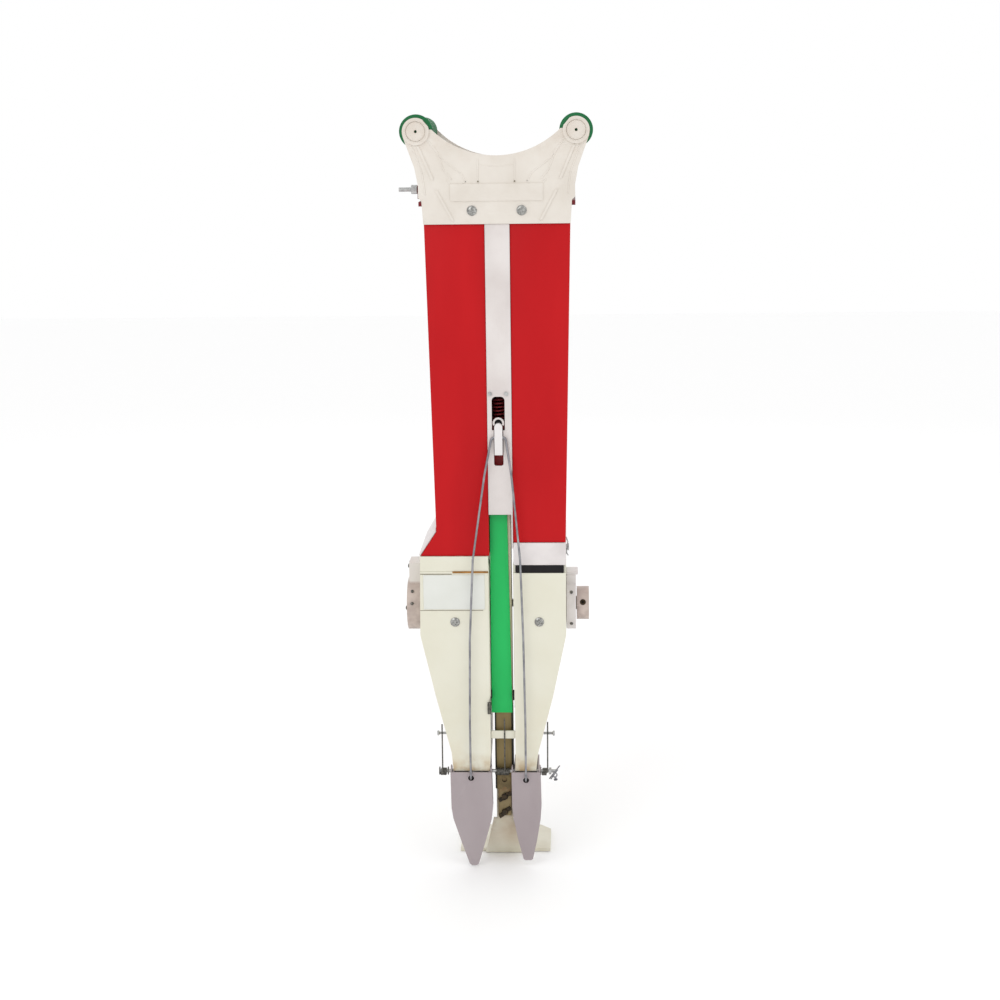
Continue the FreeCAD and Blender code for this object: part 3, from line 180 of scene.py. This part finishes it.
finish_of("seam_shadow", (0.20, 0.17, 0.12), (0.13, 0.11, 0.075), (0.5, 0.7), bump=0.1)

# painted sheet and bar
finish_of("white_paint", (0.71, 0.665, 0.645), (0.62, 0.565, 0.545), (0.25, 0.4), bump=0.03)
finish_of("red_panel", (0.50, 0.008, 0.011), (0.445, 0.006, 0.009), (0.34, 0.5), bump=0.05,
          blotch=7, stretch=(2.5, 2.5, 0.6), gloss=0.12)
# dark red for the return spring: partly red paint, partly painted shade of the slot it sits in
finish_of("dark_red_paint_and_slot_shade", (0.17, 0.012, 0.014), (0.085, 0.008, 0.009), (0.45, 0.65), metal=0.2,
          bump=0.15, blotch=120)
finish_of("slide_paint", (0.014, 0.014, 0.011), (0.035, 0.032, 0.024), (0.3, 0.5), bump=0.06,
          stains_and_painted_shade=[("Z", 0.206, 0.210, 1.0, (0.62, 0.56, 0.40), 0),
                  ("Z", 0.478, 0.482, 1.0, (0.42, 0.012, 0.014), 0)])
finish_of("olive_paint", (0.235, 0.175, 0.075), (0.175, 0.130, 0.055), (0.34, 0.5), metal=0.25,
          bump=0.08, blotch=40, stretch=(3, 1, 0.4),
          stains_and_painted_shade=[("Z", 0.128, 0.100, 0.8, (0.13, 0.095, 0.045), 80.0),
                  ("Z", 0.226, 0.230, 1.0, (0.70, 0.64, 0.54), 0)])
# the pull block is white paint on its front; every face behind the front is dark red, painted
# shade with a painted reflection of the red slot
finish_of("block_paint_and_painted_side_shade", (0.78, 0.75, 0.74), (0.70, 0.67, 0.66), (0.28, 0.42), bump=0.05,
          stains_and_painted_shade=[("Y", -0.0592, -0.0588, 1.0, (0.26, 0.030, 0.028), 0)])
finish_of("foot_paint", (0.72, 0.69, 0.58), (0.64, 0.60, 0.48), (0.34, 0.5), bump=0.06, blotch=35,
          stains_and_painted_shade=[("Z", 0.010, 0.046, 0.95, (0.40, 0.235, 0.105), 13.0)])

# bare and plated metal
finish_of("zinc", (0.56, 0.56, 0.55), (0.34, 0.34, 0.34), (0.24, 0.42), metal=1.0, blotch=160,
          bump=0.06)
finish_of("wire_zinc", (0.36, 0.36, 0.38), (0.20, 0.20, 0.22), (0.28, 0.45), metal=0.9, blotch=90,
          bump=0.06, stains_and_painted_shade=[("Z", 0.128, 0.116, 0.9, GRIME, 120.0)])
finish_of("chrome_screw", (0.44, 0.44, 0.42), (0.20, 0.20, 0.19), (0.14, 0.3), metal=1.0,
          blotch=420, bump=0.06)
finish_of("brass", (0.42, 0.20, 0.05), (0.26, 0.12, 0.03), (0.3, 0.5), metal=0.6, blotch=120,
          bump=0.05)
finish_of("flap_steel", (0.385, 0.335, 0.345), (0.345, 0.295, 0.305), (0.46, 0.58), metal=0.15,
          blotch=12, bump=0.05, stretch=(2, 1, 0.7))
finish_of("flap_edge", (0.15, 0.122, 0.122), (0.09, 0.07, 0.07), (0.4, 0.6), metal=0.5,
          blotch=200, bump=0.1)
finish_of("dark_spring", (0.075, 0.074, 0.068), (0.19, 0.18, 0.16), (0.3, 0.5), metal=0.85,
          blotch=400, bump=0.08)
finish_of("stem_zinc", (0.30, 0.235, 0.125), (0.20, 0.15, 0.075), (0.35, 0.55), metal=0.45,
          blotch=70, bump=0.1, stains_and_painted_shade=[("Z", 0.085, 0.098, 0.85, RUST, 60.0)])
finish_of("rusty_bolt", (0.022, 0.017, 0.012), (0.075, 0.048, 0.022), (0.55, 0.75), metal=0.2,
          blotch=260, bump=0.4)


# ------------------------------------------------------------------ modelling helpers
def mm(x, y, z):
    return Vector((x, y, z)) * MM


def box_mm(node):
    """A node's lowest and highest corners in mm."""
    return tuple(tuple(v / MM for v in corner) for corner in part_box(node))


def deselect():
    if bpy.context.object and bpy.context.object.mode == "EDIT":
        bpy.ops.object.mode_set(mode="OBJECT")
    bpy.ops.object.select_all(action="DESELECT")


def alone(piece):
    deselect()
    piece.select_set(True)
    bpy.context.view_layer.objects.active = piece


def settle(piece):
    """Puts the piece's place and turn into its mesh."""
    alone(piece)
    bpy.ops.object.transform_apply(location=True, rotation=True, scale=True)
    return piece


def apply_all(piece):
    alone(piece)
    for change in [m.name for m in piece.modifiers]:
        bpy.ops.object.modifier_apply(modifier=change)
    return piece


def rounded(piece, width, segments=2, angle=35, edge_slot=-1):
    change = piece.modifiers.new("edges", "BEVEL")
    change.width = width
    change.segments = segments
    change.limit_method = "ANGLE"
    change.angle_limit = math.radians(angle)
    change.harden_normals = False
    change.material = edge_slot
    change.use_clamp_overlap = True
    return apply_all(piece)


def smooth(piece, angle=35):
    alone(piece)
    bpy.ops.object.shade_smooth_by_angle(angle=math.radians(angle))
    return piece


def dress(piece, *finishes):
    piece.data.materials.clear()
    for finish in finishes:
        piece.data.materials.append(made[finish])
    return piece


def named(piece, name, body, *replaced):
    piece.name = name
    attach(piece, body)
    if replaced:
        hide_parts(*replaced)
    return piece


def fitting(parts, finish, name, body, *replaced):
    """Small parts joined into one named piece of one finish."""
    return named(dress(joined(parts), finish), name, body, *replaced)


def body_of_node(node):
    return next(b for b, names in frame["record"]["behaviour"]["bodies"].items() if node in names)


def softened(node, finish, width, segments=2, angle=35, edge=None):
    """A copy of a CAD node whose edges are rounded as a moulding's or a folded sheet's are."""
    source = frame["nodes"][node]
    deselect()
    piece = source.copy()
    piece.data = source.data.copy()
    piece.parent = None
    bpy.context.collection.objects.link(piece)
    alone(piece)
    bpy.ops.object.mode_set(mode="EDIT")
    bpy.ops.mesh.select_all(action="SELECT")
    bpy.ops.mesh.remove_doubles(threshold=1e-6)
    bpy.ops.mesh.dissolve_limited(angle_limit=math.radians(0.5))
    bpy.ops.object.mode_set(mode="OBJECT")
    dress(piece, finish, edge or finish)
    for face in piece.data.polygons:
        face.material_index = 0
    rounded(piece, width, segments, angle, 1 if edge else -1)
    smooth(piece, angle)
    return named(piece, node + "_finished", body_of_node(node), node)


def tube(radius, start, end, sides=32):
    """A capped cylinder between two points."""
    start, end = Vector(start), Vector(end)
    deselect()
    bpy.ops.mesh.primitive_cylinder_add(vertices=sides, radius=radius, depth=(end - start).length,
                                        location=(start + end) / 2)
    piece = bpy.context.object
    piece.rotation_mode = "QUATERNION"
    piece.rotation_quaternion = (end - start).to_track_quat("Z", "Y")
    return settle(piece)


def slab(low, high):
    low, high = Vector(low), Vector(high)
    deselect()
    bpy.ops.mesh.primitive_cube_add(size=1, location=(low + high) / 2)
    piece = bpy.context.object
    piece.scale = high - low
    return settle(piece)


def joined(pieces):
    deselect()
    for piece in pieces:
        piece.select_set(True)
    bpy.context.view_layer.objects.active = pieces[0]
    bpy.ops.object.join()
    return bpy.context.object


def carve(piece, *tools):
    for tool in tools:
        change = piece.modifiers.new("carve", "BOOLEAN")
        change.operation = "DIFFERENCE"
        change.object = tool
        change.solver = "EXACT"
    apply_all(piece)
    for tool in tools:
        bpy.data.objects.remove(tool)
    return piece


def helix(radius, wire, centre, length, turns, axis="X", sides=10, steps=28):
    """A wound wire: a round section turned and drawn along its axis by a Screw modifier."""
    deselect()
    bpy.ops.mesh.primitive_circle_add(vertices=sides, radius=wire, location=(radius, 0, 0),
                                      rotation=UPRIGHT)
    piece = settle(bpy.context.object)
    change = piece.modifiers.new("wind", "SCREW")
    change.axis = "Z"
    change.angle = TURN
    change.screw_offset = length / turns
    change.iterations = int(turns)
    change.steps = steps
    change.render_steps = steps
    change.use_merge_vertices = False
    apply_all(piece)
    alone(piece)
    bpy.ops.object.mode_set(mode="EDIT")
    bpy.ops.mesh.select_all(action="SELECT")
    bpy.ops.mesh.remove_doubles(threshold=1e-7)
    bpy.ops.mesh.select_all(action="DESELECT")
    bpy.ops.mesh.select_non_manifold()
    bpy.ops.mesh.fill_holes(sides=sides + 2)
    bpy.ops.mesh.select_all(action="SELECT")
    bpy.ops.mesh.normals_make_consistent(inside=False)
    bpy.ops.object.mode_set(mode="OBJECT")
    piece.location = (0, 0, -length / 2)
    settle(piece)
    if axis == "X":
        piece.rotation_euler = (0, math.pi / 2, 0)
        settle(piece)
        piece.rotation_euler = (-math.pi / 2, 0, 0)
        settle(piece)
    piece.location = centre
    return smooth(settle(piece), 60)


def turned(profile, place, towards=(0, 0, 1), sides=40):
    """A round solid drawn out ring by ring from a list of (distance along, radius), all in mm."""
    (along, radius), *rings = [(a * MM, r * MM) for a, r in profile]
    deselect()
    bpy.ops.mesh.primitive_circle_add(vertices=sides, radius=radius, fill_type="NGON",
                                      location=(0, 0, along))
    piece = settle(bpy.context.object)
    bpy.ops.object.mode_set(mode="EDIT")
    bpy.ops.mesh.select_all(action="SELECT")
    for step, reach in rings:
        bpy.ops.mesh.extrude_region_move(TRANSFORM_OT_translate={"value": (0, 0, step - along)})
        share = reach / radius
        bpy.ops.transform.resize(value=(share, share, 1), center_override=(0, 0, step))
        along, radius = step, reach
    bpy.ops.mesh.select_all(action="SELECT")
    bpy.ops.mesh.normals_make_consistent(inside=False)
    bpy.ops.object.mode_set(mode="OBJECT")
    piece.rotation_mode = "QUATERNION"
    piece.rotation_quaternion = Vector(towards).to_track_quat("Z", "Y")
    piece.location = Vector(place) * MM
    return settle(piece)


def ring(radius, wire, place, rotation=UPRIGHT, around=64):
    """A closed ring of round wire, in mm."""
    deselect()
    bpy.ops.mesh.primitive_torus_add(major_radius=radius * MM, minor_radius=wire * MM,
                                     major_segments=around, minor_segments=10,
                                     location=mm(*place), rotation=rotation)
    return settle(bpy.context.object)


def bar(start, end, wide, deep):
    """A flat bar between two points (mm), wide across its face and deep along Y."""
    start, end, turn = Vector(start) * MM, Vector(end) * MM, Vector((0, 1, 0))
    deselect()
    bpy.ops.mesh.primitive_cube_add(size=1)
    piece = bpy.context.object
    piece.scale = (wide * MM, deep * MM, (end - start).length)
    settle(piece)
    along = (end - start).normalized()
    side = turn.cross(along).normalized()
    frame_turn = Matrix((side, along.cross(side), along)).transposed()
    piece.rotation_mode = "QUATERNION"
    piece.rotation_quaternion = frame_turn.to_quaternion()
    piece.location = (start + end) / 2
    return settle(piece)


def cross_screw(x, y, z, side, radius, dome, turn=20):
    """A domed screw head with a cross recess; y is the face it sits on."""
    head = turned([(-0.6, radius * 0.9), (0.0, radius), (dome * 0.28, radius),
                   (dome * 0.62, radius * 0.84), (dome * 0.86, radius * 0.56),
                   (dome, radius * 0.24)], (x, y, z), (0, side, 0), 36)
    smooth(head, 45)
    blades = []
    for angle in (turn, turn + 90):
        lean = math.radians(angle)
        across = Vector((math.cos(lean), 0, math.sin(lean))) * radius * 0.56
        middle = Vector((x, y + side * dome, z))
        blades.append(bar(middle - across, middle + across, radius * 0.2, dome * 1.1))
    return carve(head, *blades)


def wavy(piece, amount, seed_size):
    """Makes a cut edge or a rusty face uneven."""
    pattern = bpy.data.textures.new(piece.name + "_unevenness", "CLOUDS")
    pattern.noise_scale = seed_size * MM
    change = piece.modifiers.new("uneven", "DISPLACE")
    change.texture = pattern
    change.texture_coords = "LOCAL"
    change.strength = amount * MM
    change.mid_level = 0.5
    return apply_all(piece)


# ------------------------------------------------------------------ mouldings and sheet parts
for node in ("front_yoke", "rear_yoke"):
    softened(node, "yoke_plastic", 0.9 * MM, 3, 30)
for node in ("handle_rod_left", "handle_rod_right"):
    softened(node, "yoke_plastic", 0.8 * MM, 3, 40)
for node in ("seed_hopper", "fertiliser_hopper"):
    softened(node, "red_plastic", 1.0 * MM, 3)
for node in ("seed_front_panel", "fertiliser_front_panel", "rear_panel"):
    softened(node, "red_panel", 0.3 * MM, 2)
softened("seed_side_pocket", "pale_plastic", 0.8 * MM, 3)
softened("top_deck", "dark_red_plastic", 0.8 * MM, 2)
for node in ("seed_lid", "fertiliser_lid"):
    softened(node, "dark_red_plastic", 0.8 * MM, 3)
softened("centre_channel", "white_paint", 0.5 * MM, 3)
for node in ("seed_chute_front", "seed_chute_rear",
             "fertiliser_chute_front", "fertiliser_chute_rear"):
    softened(node, "chute_plastic", 0.9 * MM, 3, 12)
softened("seed_inspection_panel", "panel_plastic", 0.35 * MM, 2)
softened("fertiliser_gate_block", "pale_plastic", 0.9 * MM, 3)
softened("fertiliser_brush", "black_plastic", 1.0 * MM, 3)
softened("seed_wheel_cover", "pink_plastic", 1.4 * MM, 4, 40)
softened("fertiliser_housing", "pale_plastic", 1.2 * MM, 4, 40)
softened("adjusting_knob", "pink_plastic", 1.0 * MM, 3, 40)
softened("slide_tube", "slide_paint", 0.6 * MM, 3)
softened("wear_strip", "olive_paint", 0.3 * MM, 2)
softened("green_sleeve", "green_sleeve_plastic", 0.7 * MM, 3)
softened("pull_block", "block_paint_and_painted_side_shade", 0.6 * MM, 3)
softened("foot_plate", "foot_paint", 0.9 * MM, 3, 20)
softened("foot_stem", "stem_zinc", 0.5 * MM, 2)
for node in ("seed_flap", "fertiliser_flap"):
    softened(node, "flap_steel", 0.45 * MM, 2, 24, "flap_edge")
for node in ("seed_jaw", "fertiliser_jaw"):
    softened(node, "flap_steel", 0.3 * MM, 2, 24)
softened("guide_strap", "cream_plastic", 0.6 * MM, 3)
softened("seed_gate_plate", "brass", 0.3 * MM, 2)

for node, finish in {
        "lid_hinge_rod": "zinc", "channel_screws": "zinc", "metering_shaft": "zinc",
        "jaw_axle": "zinc", "axle_collar": "zinc", "knob_set_screw": "rusty_bolt",
        "pull_wire_left": "wire_zinc", "pull_wire_right": "wire_zinc",
        "rack_bar": "black_plastic", "drive_pinion": "black_plastic",
        "seed_throat": "cream_plastic", "fertiliser_throat": "cream_plastic",
        "guide_rails": "cream_plastic", "seed_wheel": "wheel_plastic",
        "fertiliser_roller": "wheel_plastic"}.items():
    dress(frame["nodes"][node], finish)
    smooth(frame["nodes"][node], 35)

# ------------------------------------------------------------------ hand grips
low, high = box_mm("grip_left")
grip_z = (low[2] + high[2]) / 2
RIDGES, PITCH = 14, 7.6
ridges = []
for count in range(RIDGES):
    start = low[1] + 6.2 + count * PITCH
    ridges += [(start, 14.4), (start + 1.2, 15.3), (start + 4.8, 15.3), (start + 6.0, 14.4)]
collar = [(low[1], 18.0), (low[1] + 0.5, 18.8), (low[1] + 3.4, 18.8), (low[1] + 4.0, 18.2),
          (low[1] + 4.6, 14.6)]
end_bead = [(high[1] - 4.0, 15.0), (high[1] - 3.2, 15.4), (high[1] - 0.4, 15.4), (high[1], 15.0)]
for side in ("left", "right"):
    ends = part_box("grip_" + side)
    x = (ends[0][0] + ends[1][0]) / 2 / MM
    grip = smooth(turned(collar + ridges + end_bead, (x, 0, grip_z), (0, 1, 0), 56), 40)
    dress(grip, "grip_rubber")
    named(grip, f"grip_{side}_ridged", "frame", "grip_" + side)

# ------------------------------------------------------------------ screws
YOKE_FACE, CHUTE_FRONT, CHUTE_REAR = 62.3, 61.0, 58.0
heads = [cross_screw(x, side * YOKE_FACE, 794.3, side, 5.7, 2.2, turn)
         for x, turn in ((-28, 15), (28, 52)) for side in (-1, 1)]
fitting(heads, "chrome_screw", "yoke_screws_domed", "frame", "yoke_screws")
heads = [cross_screw(x, face, 313.5, side, 5.6, 2.3, turn)
         for x, turn in ((-55.5, 8), (44, 63))
         for face, side in ((-CHUTE_FRONT, -1), (CHUTE_REAR, 1))]
fitting(heads, "chrome_screw", "chute_screws_domed", "frame", "chute_screws")

low, high = box_mm("lid_rod_nuts")
rod_y, rod_z = (low[1] + high[1]) / 2, (low[2] + high[2]) / 2
nuts = []
for start, wide in ((low[0], 7.7), (high[0] - 2.2, 2.2)):
    nut = turned([(0, 4.7), (0.6, 5.4), (wide - 0.6, 5.4), (wide, 4.7)],
                 (start, rod_y, rod_z), (1, 0, 0), 6)
    nuts.append(rounded(nut, 0.25 * MM, 2, 30))
fitting(nuts, "zinc", "lid_rod_nuts_hexagonal", "frame", "lid_rod_nuts")

low, high = box_mm("spring_anchor_screws")
anchor_z, anchor_y = (low[2] + high[2]) / 2, (low[1] + high[1]) / 2
anchors = []
for tip, side in ((low[0], 1), (high[0], -1)):
    threads = [(0, 2.0), (0.5, 3.1), (2.0, 3.1), (2.9, 1.7)]
    for count in range(8):
        at = 3.4 + count * 1.3
        threads += [(at, 1.35), (at + 0.35, 1.8), (at + 0.7, 1.8), (at + 1.0, 1.35)]
    anchors.append(smooth(turned(threads, (tip, anchor_y, anchor_z), (side, 0, 0), 20), 40))
fitting(anchors, "zinc", "spring_anchor_screws_threaded", "frame", "spring_anchor_screws")

# ------------------------------------------------------------------ torsion springs on the axle
axle_low, axle_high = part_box("jaw_axle")
axle_y, axle_z = (axle_low[1] + axle_high[1]) / 2, (axle_low[2] + axle_high[2]) / 2
WIRE, WINDING = 0.85 * MM, 3.85 * MM
front = axle_y - WINDING
windings = []
for centre, long_coil, turns, leg_x, leg_top in ((-73, 8.4, 5, -74.2, 185),
                                                 (-1.7, 18.6, 10, 1, 192),
                                                 (48.8, 7, 4, 52.6, 188)):
    windings.append(helix(WINDING, WIRE, (centre * MM, axle_y, axle_z - 0.9 * MM),
                          (long_coil - 1.7) * MM, turns))
    leg = tube(WIRE, (leg_x * MM, front, axle_z - 0.5 * MM),
               (leg_x * MM + 0.3 * MM, front, leg_top * MM), 12)
    windings.append(smooth(leg, 40))
    half = long_coil / 2 - 1.2
    reach = centre - half if leg_x < centre else centre + half
    link = tube(WIRE, (reach * MM, front, axle_z - 0.6 * MM), (leg_x * MM, front, axle_z), 12)
    windings.append(smooth(link, 40))
fitting(windings, "dark_spring", "torsion_springs_wound", "frame", "torsion_springs")

# ------------------------------------------------------------------ return spring behind the slot
low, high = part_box("return_spring")
middle_y, tall = (low[1] + high[1]) / 2, high[2] - low[2]
coil = helix(7.4 * MM, 0.9 * MM, (0, middle_y, (low[2] + high[2]) / 2), tall - 2.0 * MM, 20,
             axis="Z")
# the spring's dark red is partly paint and partly painted shade of the slot
named(dress(coil, "dark_red_paint_and_slot_shade"), "return_spring_wound", "frame", "return_spring")
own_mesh(coil)

# ------------------------------------------------------------------ the axle's cotter and washers
end_y = axle_y / MM
cotter = [tube(0.75 * MM, mm(54.6, end_y - 4.6, 116.2), mm(67.2, end_y - 3.0, 132.4), 14),
          tube(0.7 * MM, mm(56.4, end_y - 3.6, 115.4), mm(64.8, end_y - 2.4, 127.0), 14),
          ring(2.5, 0.75, (61.6, end_y - 3.4, 120.4), (math.pi / 2, 0, 0.5), 28),
          turned([(0, 1.3), (3.4, 1.3), (3.5, 2.4), (4.8, 2.2), (5.0, 1.0)],
                 (61.6, end_y - 3.4, 118.8), (0.15, 0, -1), 16)]
fitting([smooth(part, 40) for part in cotter], "wire_zinc", "axle_cotter", "frame")
washers = [rounded(turned([(0, 4.9), (1.3, 4.9)], (x, end_y, axle_z / MM), (1, 0, 0), 32),
                   0.2 * MM)
           for x in (-78.6, -68.3, 43.6)]
fitting([smooth(washer, 35) for washer in washers], "dark_spring", "axle_washers", "frame")

# ------------------------------------------------------------------ foot bolts on bent lock tabs
low, high = box_mm("foot_bolts")
bolts = []
for z, lean in ((low[2] + 4.4, 24), (high[2] - 4.4, 16)):
    head = turned([(0, 4.2), (3.0, 4.2), (3.6, 3.6)], (0, low[1] + 4.0, z), (0, -1, 0), 6)
    bolts.append(rounded(head, 0.3 * MM, 2, 30))
    across = Vector((math.cos(math.radians(lean)), 0, math.sin(math.radians(lean))))
    for side, drop in ((-1, -3.4), (1, 2.8)):
        root = Vector((0, low[1] + 2.6, z + drop * 0.4))
        tip = root + across * side * 7.6 + Vector((0, -0.8, drop * 0.4))
        tab = bar(root, tip, 5.0, 1.2)
        alone(tab)
        bpy.ops.object.mode_set(mode="EDIT")
        bpy.ops.mesh.select_all(action="SELECT")
        bpy.ops.mesh.subdivide(number_cuts=3)
        bpy.ops.object.mode_set(mode="OBJECT")
        bolts.append(wavy(tab, 1.4, 3.0))
fitting([smooth(bolt, 40) for bolt in bolts], "rusty_bolt", "foot_bolts_tabbed", "slide",
        "foot_bolts")

# ------------------------------------------------------------------ small fittings
clip = helix(1.9 * MM, 0.55 * MM, mm(-16.4, -61.6, 206.5), 15 * MM, 9, axis="Z")
hook = tube(0.6 * MM, mm(-16.0, -61.4, 213), mm(-14.4, -61.0, 221), 10)
fitting([clip, smooth(hook, 40)], "dark_spring", "sleeve_clip_spring", "frame")

latch = [tube(0.8 * MM, mm(*start), mm(*end), 12)
         for start, end in (((76.6, -50, 395), (78.2, -50, 408)),
                            ((78.2, -50, 408), (76.4, -50, 414)),
                            ((76.6, -50, 395), (78.4, -46, 391)))]
latch.append(helix(1.7 * MM, 0.5 * MM, mm(77.6, -50, 402), 8 * MM, 5, axis="Z"))
fitting([smooth(part, 40) for part in latch], "zinc", "side_latch_wire", "frame")

stops = [rounded(slab(mm(11.2, -54.6, 214), mm(13.2, -50.5, 226)), 0.4 * MM),
         rounded(slab(mm(-14.4, -54.6, 216), mm(-13.4, -50.5, 226)), 0.3 * MM)]
fitting([smooth(part, 35) for part in stops], "black_plastic", "guide_stops", "frame")


def on_drum(node, x, z, radius=1.9):
    """A small bolt standing on the round front of a drum-shaped housing."""
    low, high = (Vector(corner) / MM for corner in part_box(node))
    reach, middle_y = (high.y - low.y) / 2, (low.y + high.y) / 2
    middle_z = low.z + reach
    up = z - middle_z
    out = Vector((0, -math.sqrt(reach * reach - up * up), up))
    return turned([(-0.6, radius), (1.3, radius), (1.8, radius * 0.65)],
                  Vector((x, middle_y, middle_z)) + out, out, 20)


cover_x = box_mm("seed_wheel_cover")[0][0]
cover_screws = [turned([(-0.4, 2.6), (0.9, 2.6), (1.7, 1.9), (2.0, 0.8)], place, (-1, 0, 0), 24)
                for place in ((cover_x + 2.4, -13, 370), (cover_x + 2.4, 3, 370),
                              (cover_x, -29, 322), (cover_x, 19, 322))]
cover_screws += [on_drum("seed_wheel_cover", -108.6, z) for z in (342, 329)]
fitting([smooth(part, 40) for part in cover_screws], "dark_spring", "cover_screws", "frame")
housing_bolts = [on_drum("fertiliser_housing", 82.0, z) for z in (303, 341)]
fitting([smooth(part, 40) for part in housing_bolts], "dark_spring", "housing_bolts", "frame")

# thin seams along the inspection panel's lower and upper edges
seams = [slab(mm(-96.6, -61.25, 327.4), mm(-22, -60.9, 328.0)),
         slab(mm(-96.0, -61.3, 371.6), mm(-58.5, -60.9, 372.4))]
fitting([rounded(part, 0.08 * MM, 1) for part in seams], "seam_shadow", "panel_seams", "frame")

# a moulded ring round each grip's rod
rims = [smooth(ring(11.9, 0.55, (x, side * 64.7, grip_z)), 60)
        for x in (-89.5, 89.5) for side in (-1, 1)]
fitting(rims, "yoke_plastic", "grip_rod_rims", "frame")


def curved_rib(points, side, wide=1.5, proud=0.55):
    """A low rounded rib along a line of (x, z) points in mm on a yoke's outer face."""
    y = side * (YOKE_FACE + proud / 2 - 0.1)
    return [rounded(bar((x, y, z), (next_x, y, next_z), wide, proud), 0.22 * MM, 2)
            for (x, z), (next_x, next_z) in zip(points, points[1:])]


RIB_LINES = (((75, 871), (66, 858), (58, 838), (50, 829)),
             ((70, 866), (60, 851), (40, 836), (34, 826)),
             ((20.5, 851), (20.5, 824)),
             ((48, 806), (42, 823), (34, 827)),
             ((56, 829), (50, 822), (50, 808)),
             ((94, 866), (83, 836), (80, 812)))
ribs = []
for side in (-1, 1):
    for turn in (-1, 1):
        for line in RIB_LINES:
            ribs += curved_rib([(x * turn, z) for x, z in line], side)
    ribs += curved_rib(((-48, 805.6), (48, 805.6)), side)
    ribs += curved_rib(((-20.5, 846), (-8, 843.5), (8, 843.5), (20.5, 846)), side, 1.0, 0.35)
fitting([smooth(rib, 40) for rib in ribs], "yoke_plastic", "yoke_ribs", "frame")
pins = [turned([(0, 0.9), (1.0, 0.9), (1.3, 0.5)], (x, side * YOKE_FACE, 826.5), (0, side, 0), 12)
        for x in (-20.5, 20.5) for side in (-1, 1)]
fitting([smooth(pin, 40) for pin in pins], "seam_shadow", "yoke_pins", "frame")

# a white arch round the tongue's top, with a dark plate inside it as a painted shadow
TONGUE_X, ARCH, ARCH_START, ARCH_STEP = -1.3, 5.6, 205, 25.6
arch_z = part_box("pull_block")[1][2] / MM - 0.2


def on_arch(steps):
    angle = math.radians(ARCH_START - steps * ARCH_STEP)
    return mm(TONGUE_X + ARCH * math.cos(angle), -60.6, arch_z + ARCH * math.sin(angle))


arch = [smooth(tube(1.25 * MM, on_arch(step), on_arch(step + 1), 14), 40) for step in range(9)]
fitting(arch, "white_paint", "tongue_arch", "slide")
plate = smooth(tube(5.0 * MM, mm(TONGUE_X, -58.2, arch_z), mm(TONGUE_X, -57.4, arch_z)), 40)
named(dress(plate, "black_plastic"), "tongue_arch_shadow_plate", "slide")

# rivets through the rear panel
rivets = [turned([(0, 3.1), (0.5, 3.1), (1.4, 2.3), (1.8, 1.0)], (x, 59.2, z), (0, 1, 0), 24)
          for x in (-60, 0, 60) for z in (450, 600, 750)]
fitting([smooth(rivet, 40) for rivet in rivets], "zinc", "rear_rivets", "frame")

# ------------------------------------------------------------------ floor, light and camera
deselect()
bpy.ops.mesh.primitive_plane_add(size=12, location=(0, 0, -0.0005))
floor = bpy.context.object
floor.name = "studio_floor"
nodes = tree_of("studio_floor_white")[1]
shader = nodes["Principled BSDF"]
shader.inputs["Base Color"].default_value = (0.98, 0.98, 0.98, 1)
shader.inputs["Roughness"].default_value = 0.9
dress(floor, "studio_floor_white")

world = bpy.data.worlds.new("studio")
bpy.context.scene.world = world
world.use_nodes = True
sky = world.node_tree.nodes["Background"]
sky.inputs["Color"].default_value = (1, 1, 1, 1)
sky.inputs["Strength"].default_value = 1.0


def soft_light(name, place, aim, size, power):
    deselect()
    bpy.ops.object.light_add(type="AREA", location=place)
    lamp = bpy.context.object
    lamp.name = name
    lamp.data.size = size
    lamp.data.energy = power
    lamp.rotation_mode = "QUATERNION"
    lamp.rotation_quaternion = (Vector(aim) - Vector(place)).to_track_quat("-Z", "Y")


middle = (0, 0, 0.45)
soft_light("key", (-1.2, -2.0, 1.9), middle, 1.4, 9)
soft_light("fill", (1.5, -1.9, 1.1), middle, 1.6, 3)
soft_light("back", (0.2, 2.2, 1.8), middle, 1.6, 4)

azimuth, elevation, roll = (math.radians(degrees) for degrees in (2.5, 12.4, -0.75))
aim, distance = mm(-3.2, 0, 447.7), 2.1
back = Vector((math.sin(azimuth) * math.cos(elevation), -math.cos(azimuth) * math.cos(elevation),
               math.sin(elevation)))
deselect()
bpy.ops.object.camera_add(location=aim + back * distance)
camera = bpy.context.object
camera.name = "camera"
camera.data.lens = 63
camera.data.sensor_width = 36
look = (-back).to_track_quat("-Z", "Y")
camera.rotation_mode = "QUATERNION"
spin = look.to_matrix() @ Vector((0, 0, 1))
camera.rotation_quaternion = Quaternion(spin, roll) @ look
bpy.context.scene.camera = camera
bpy.context.scene.view_settings.view_transform = "Standard"
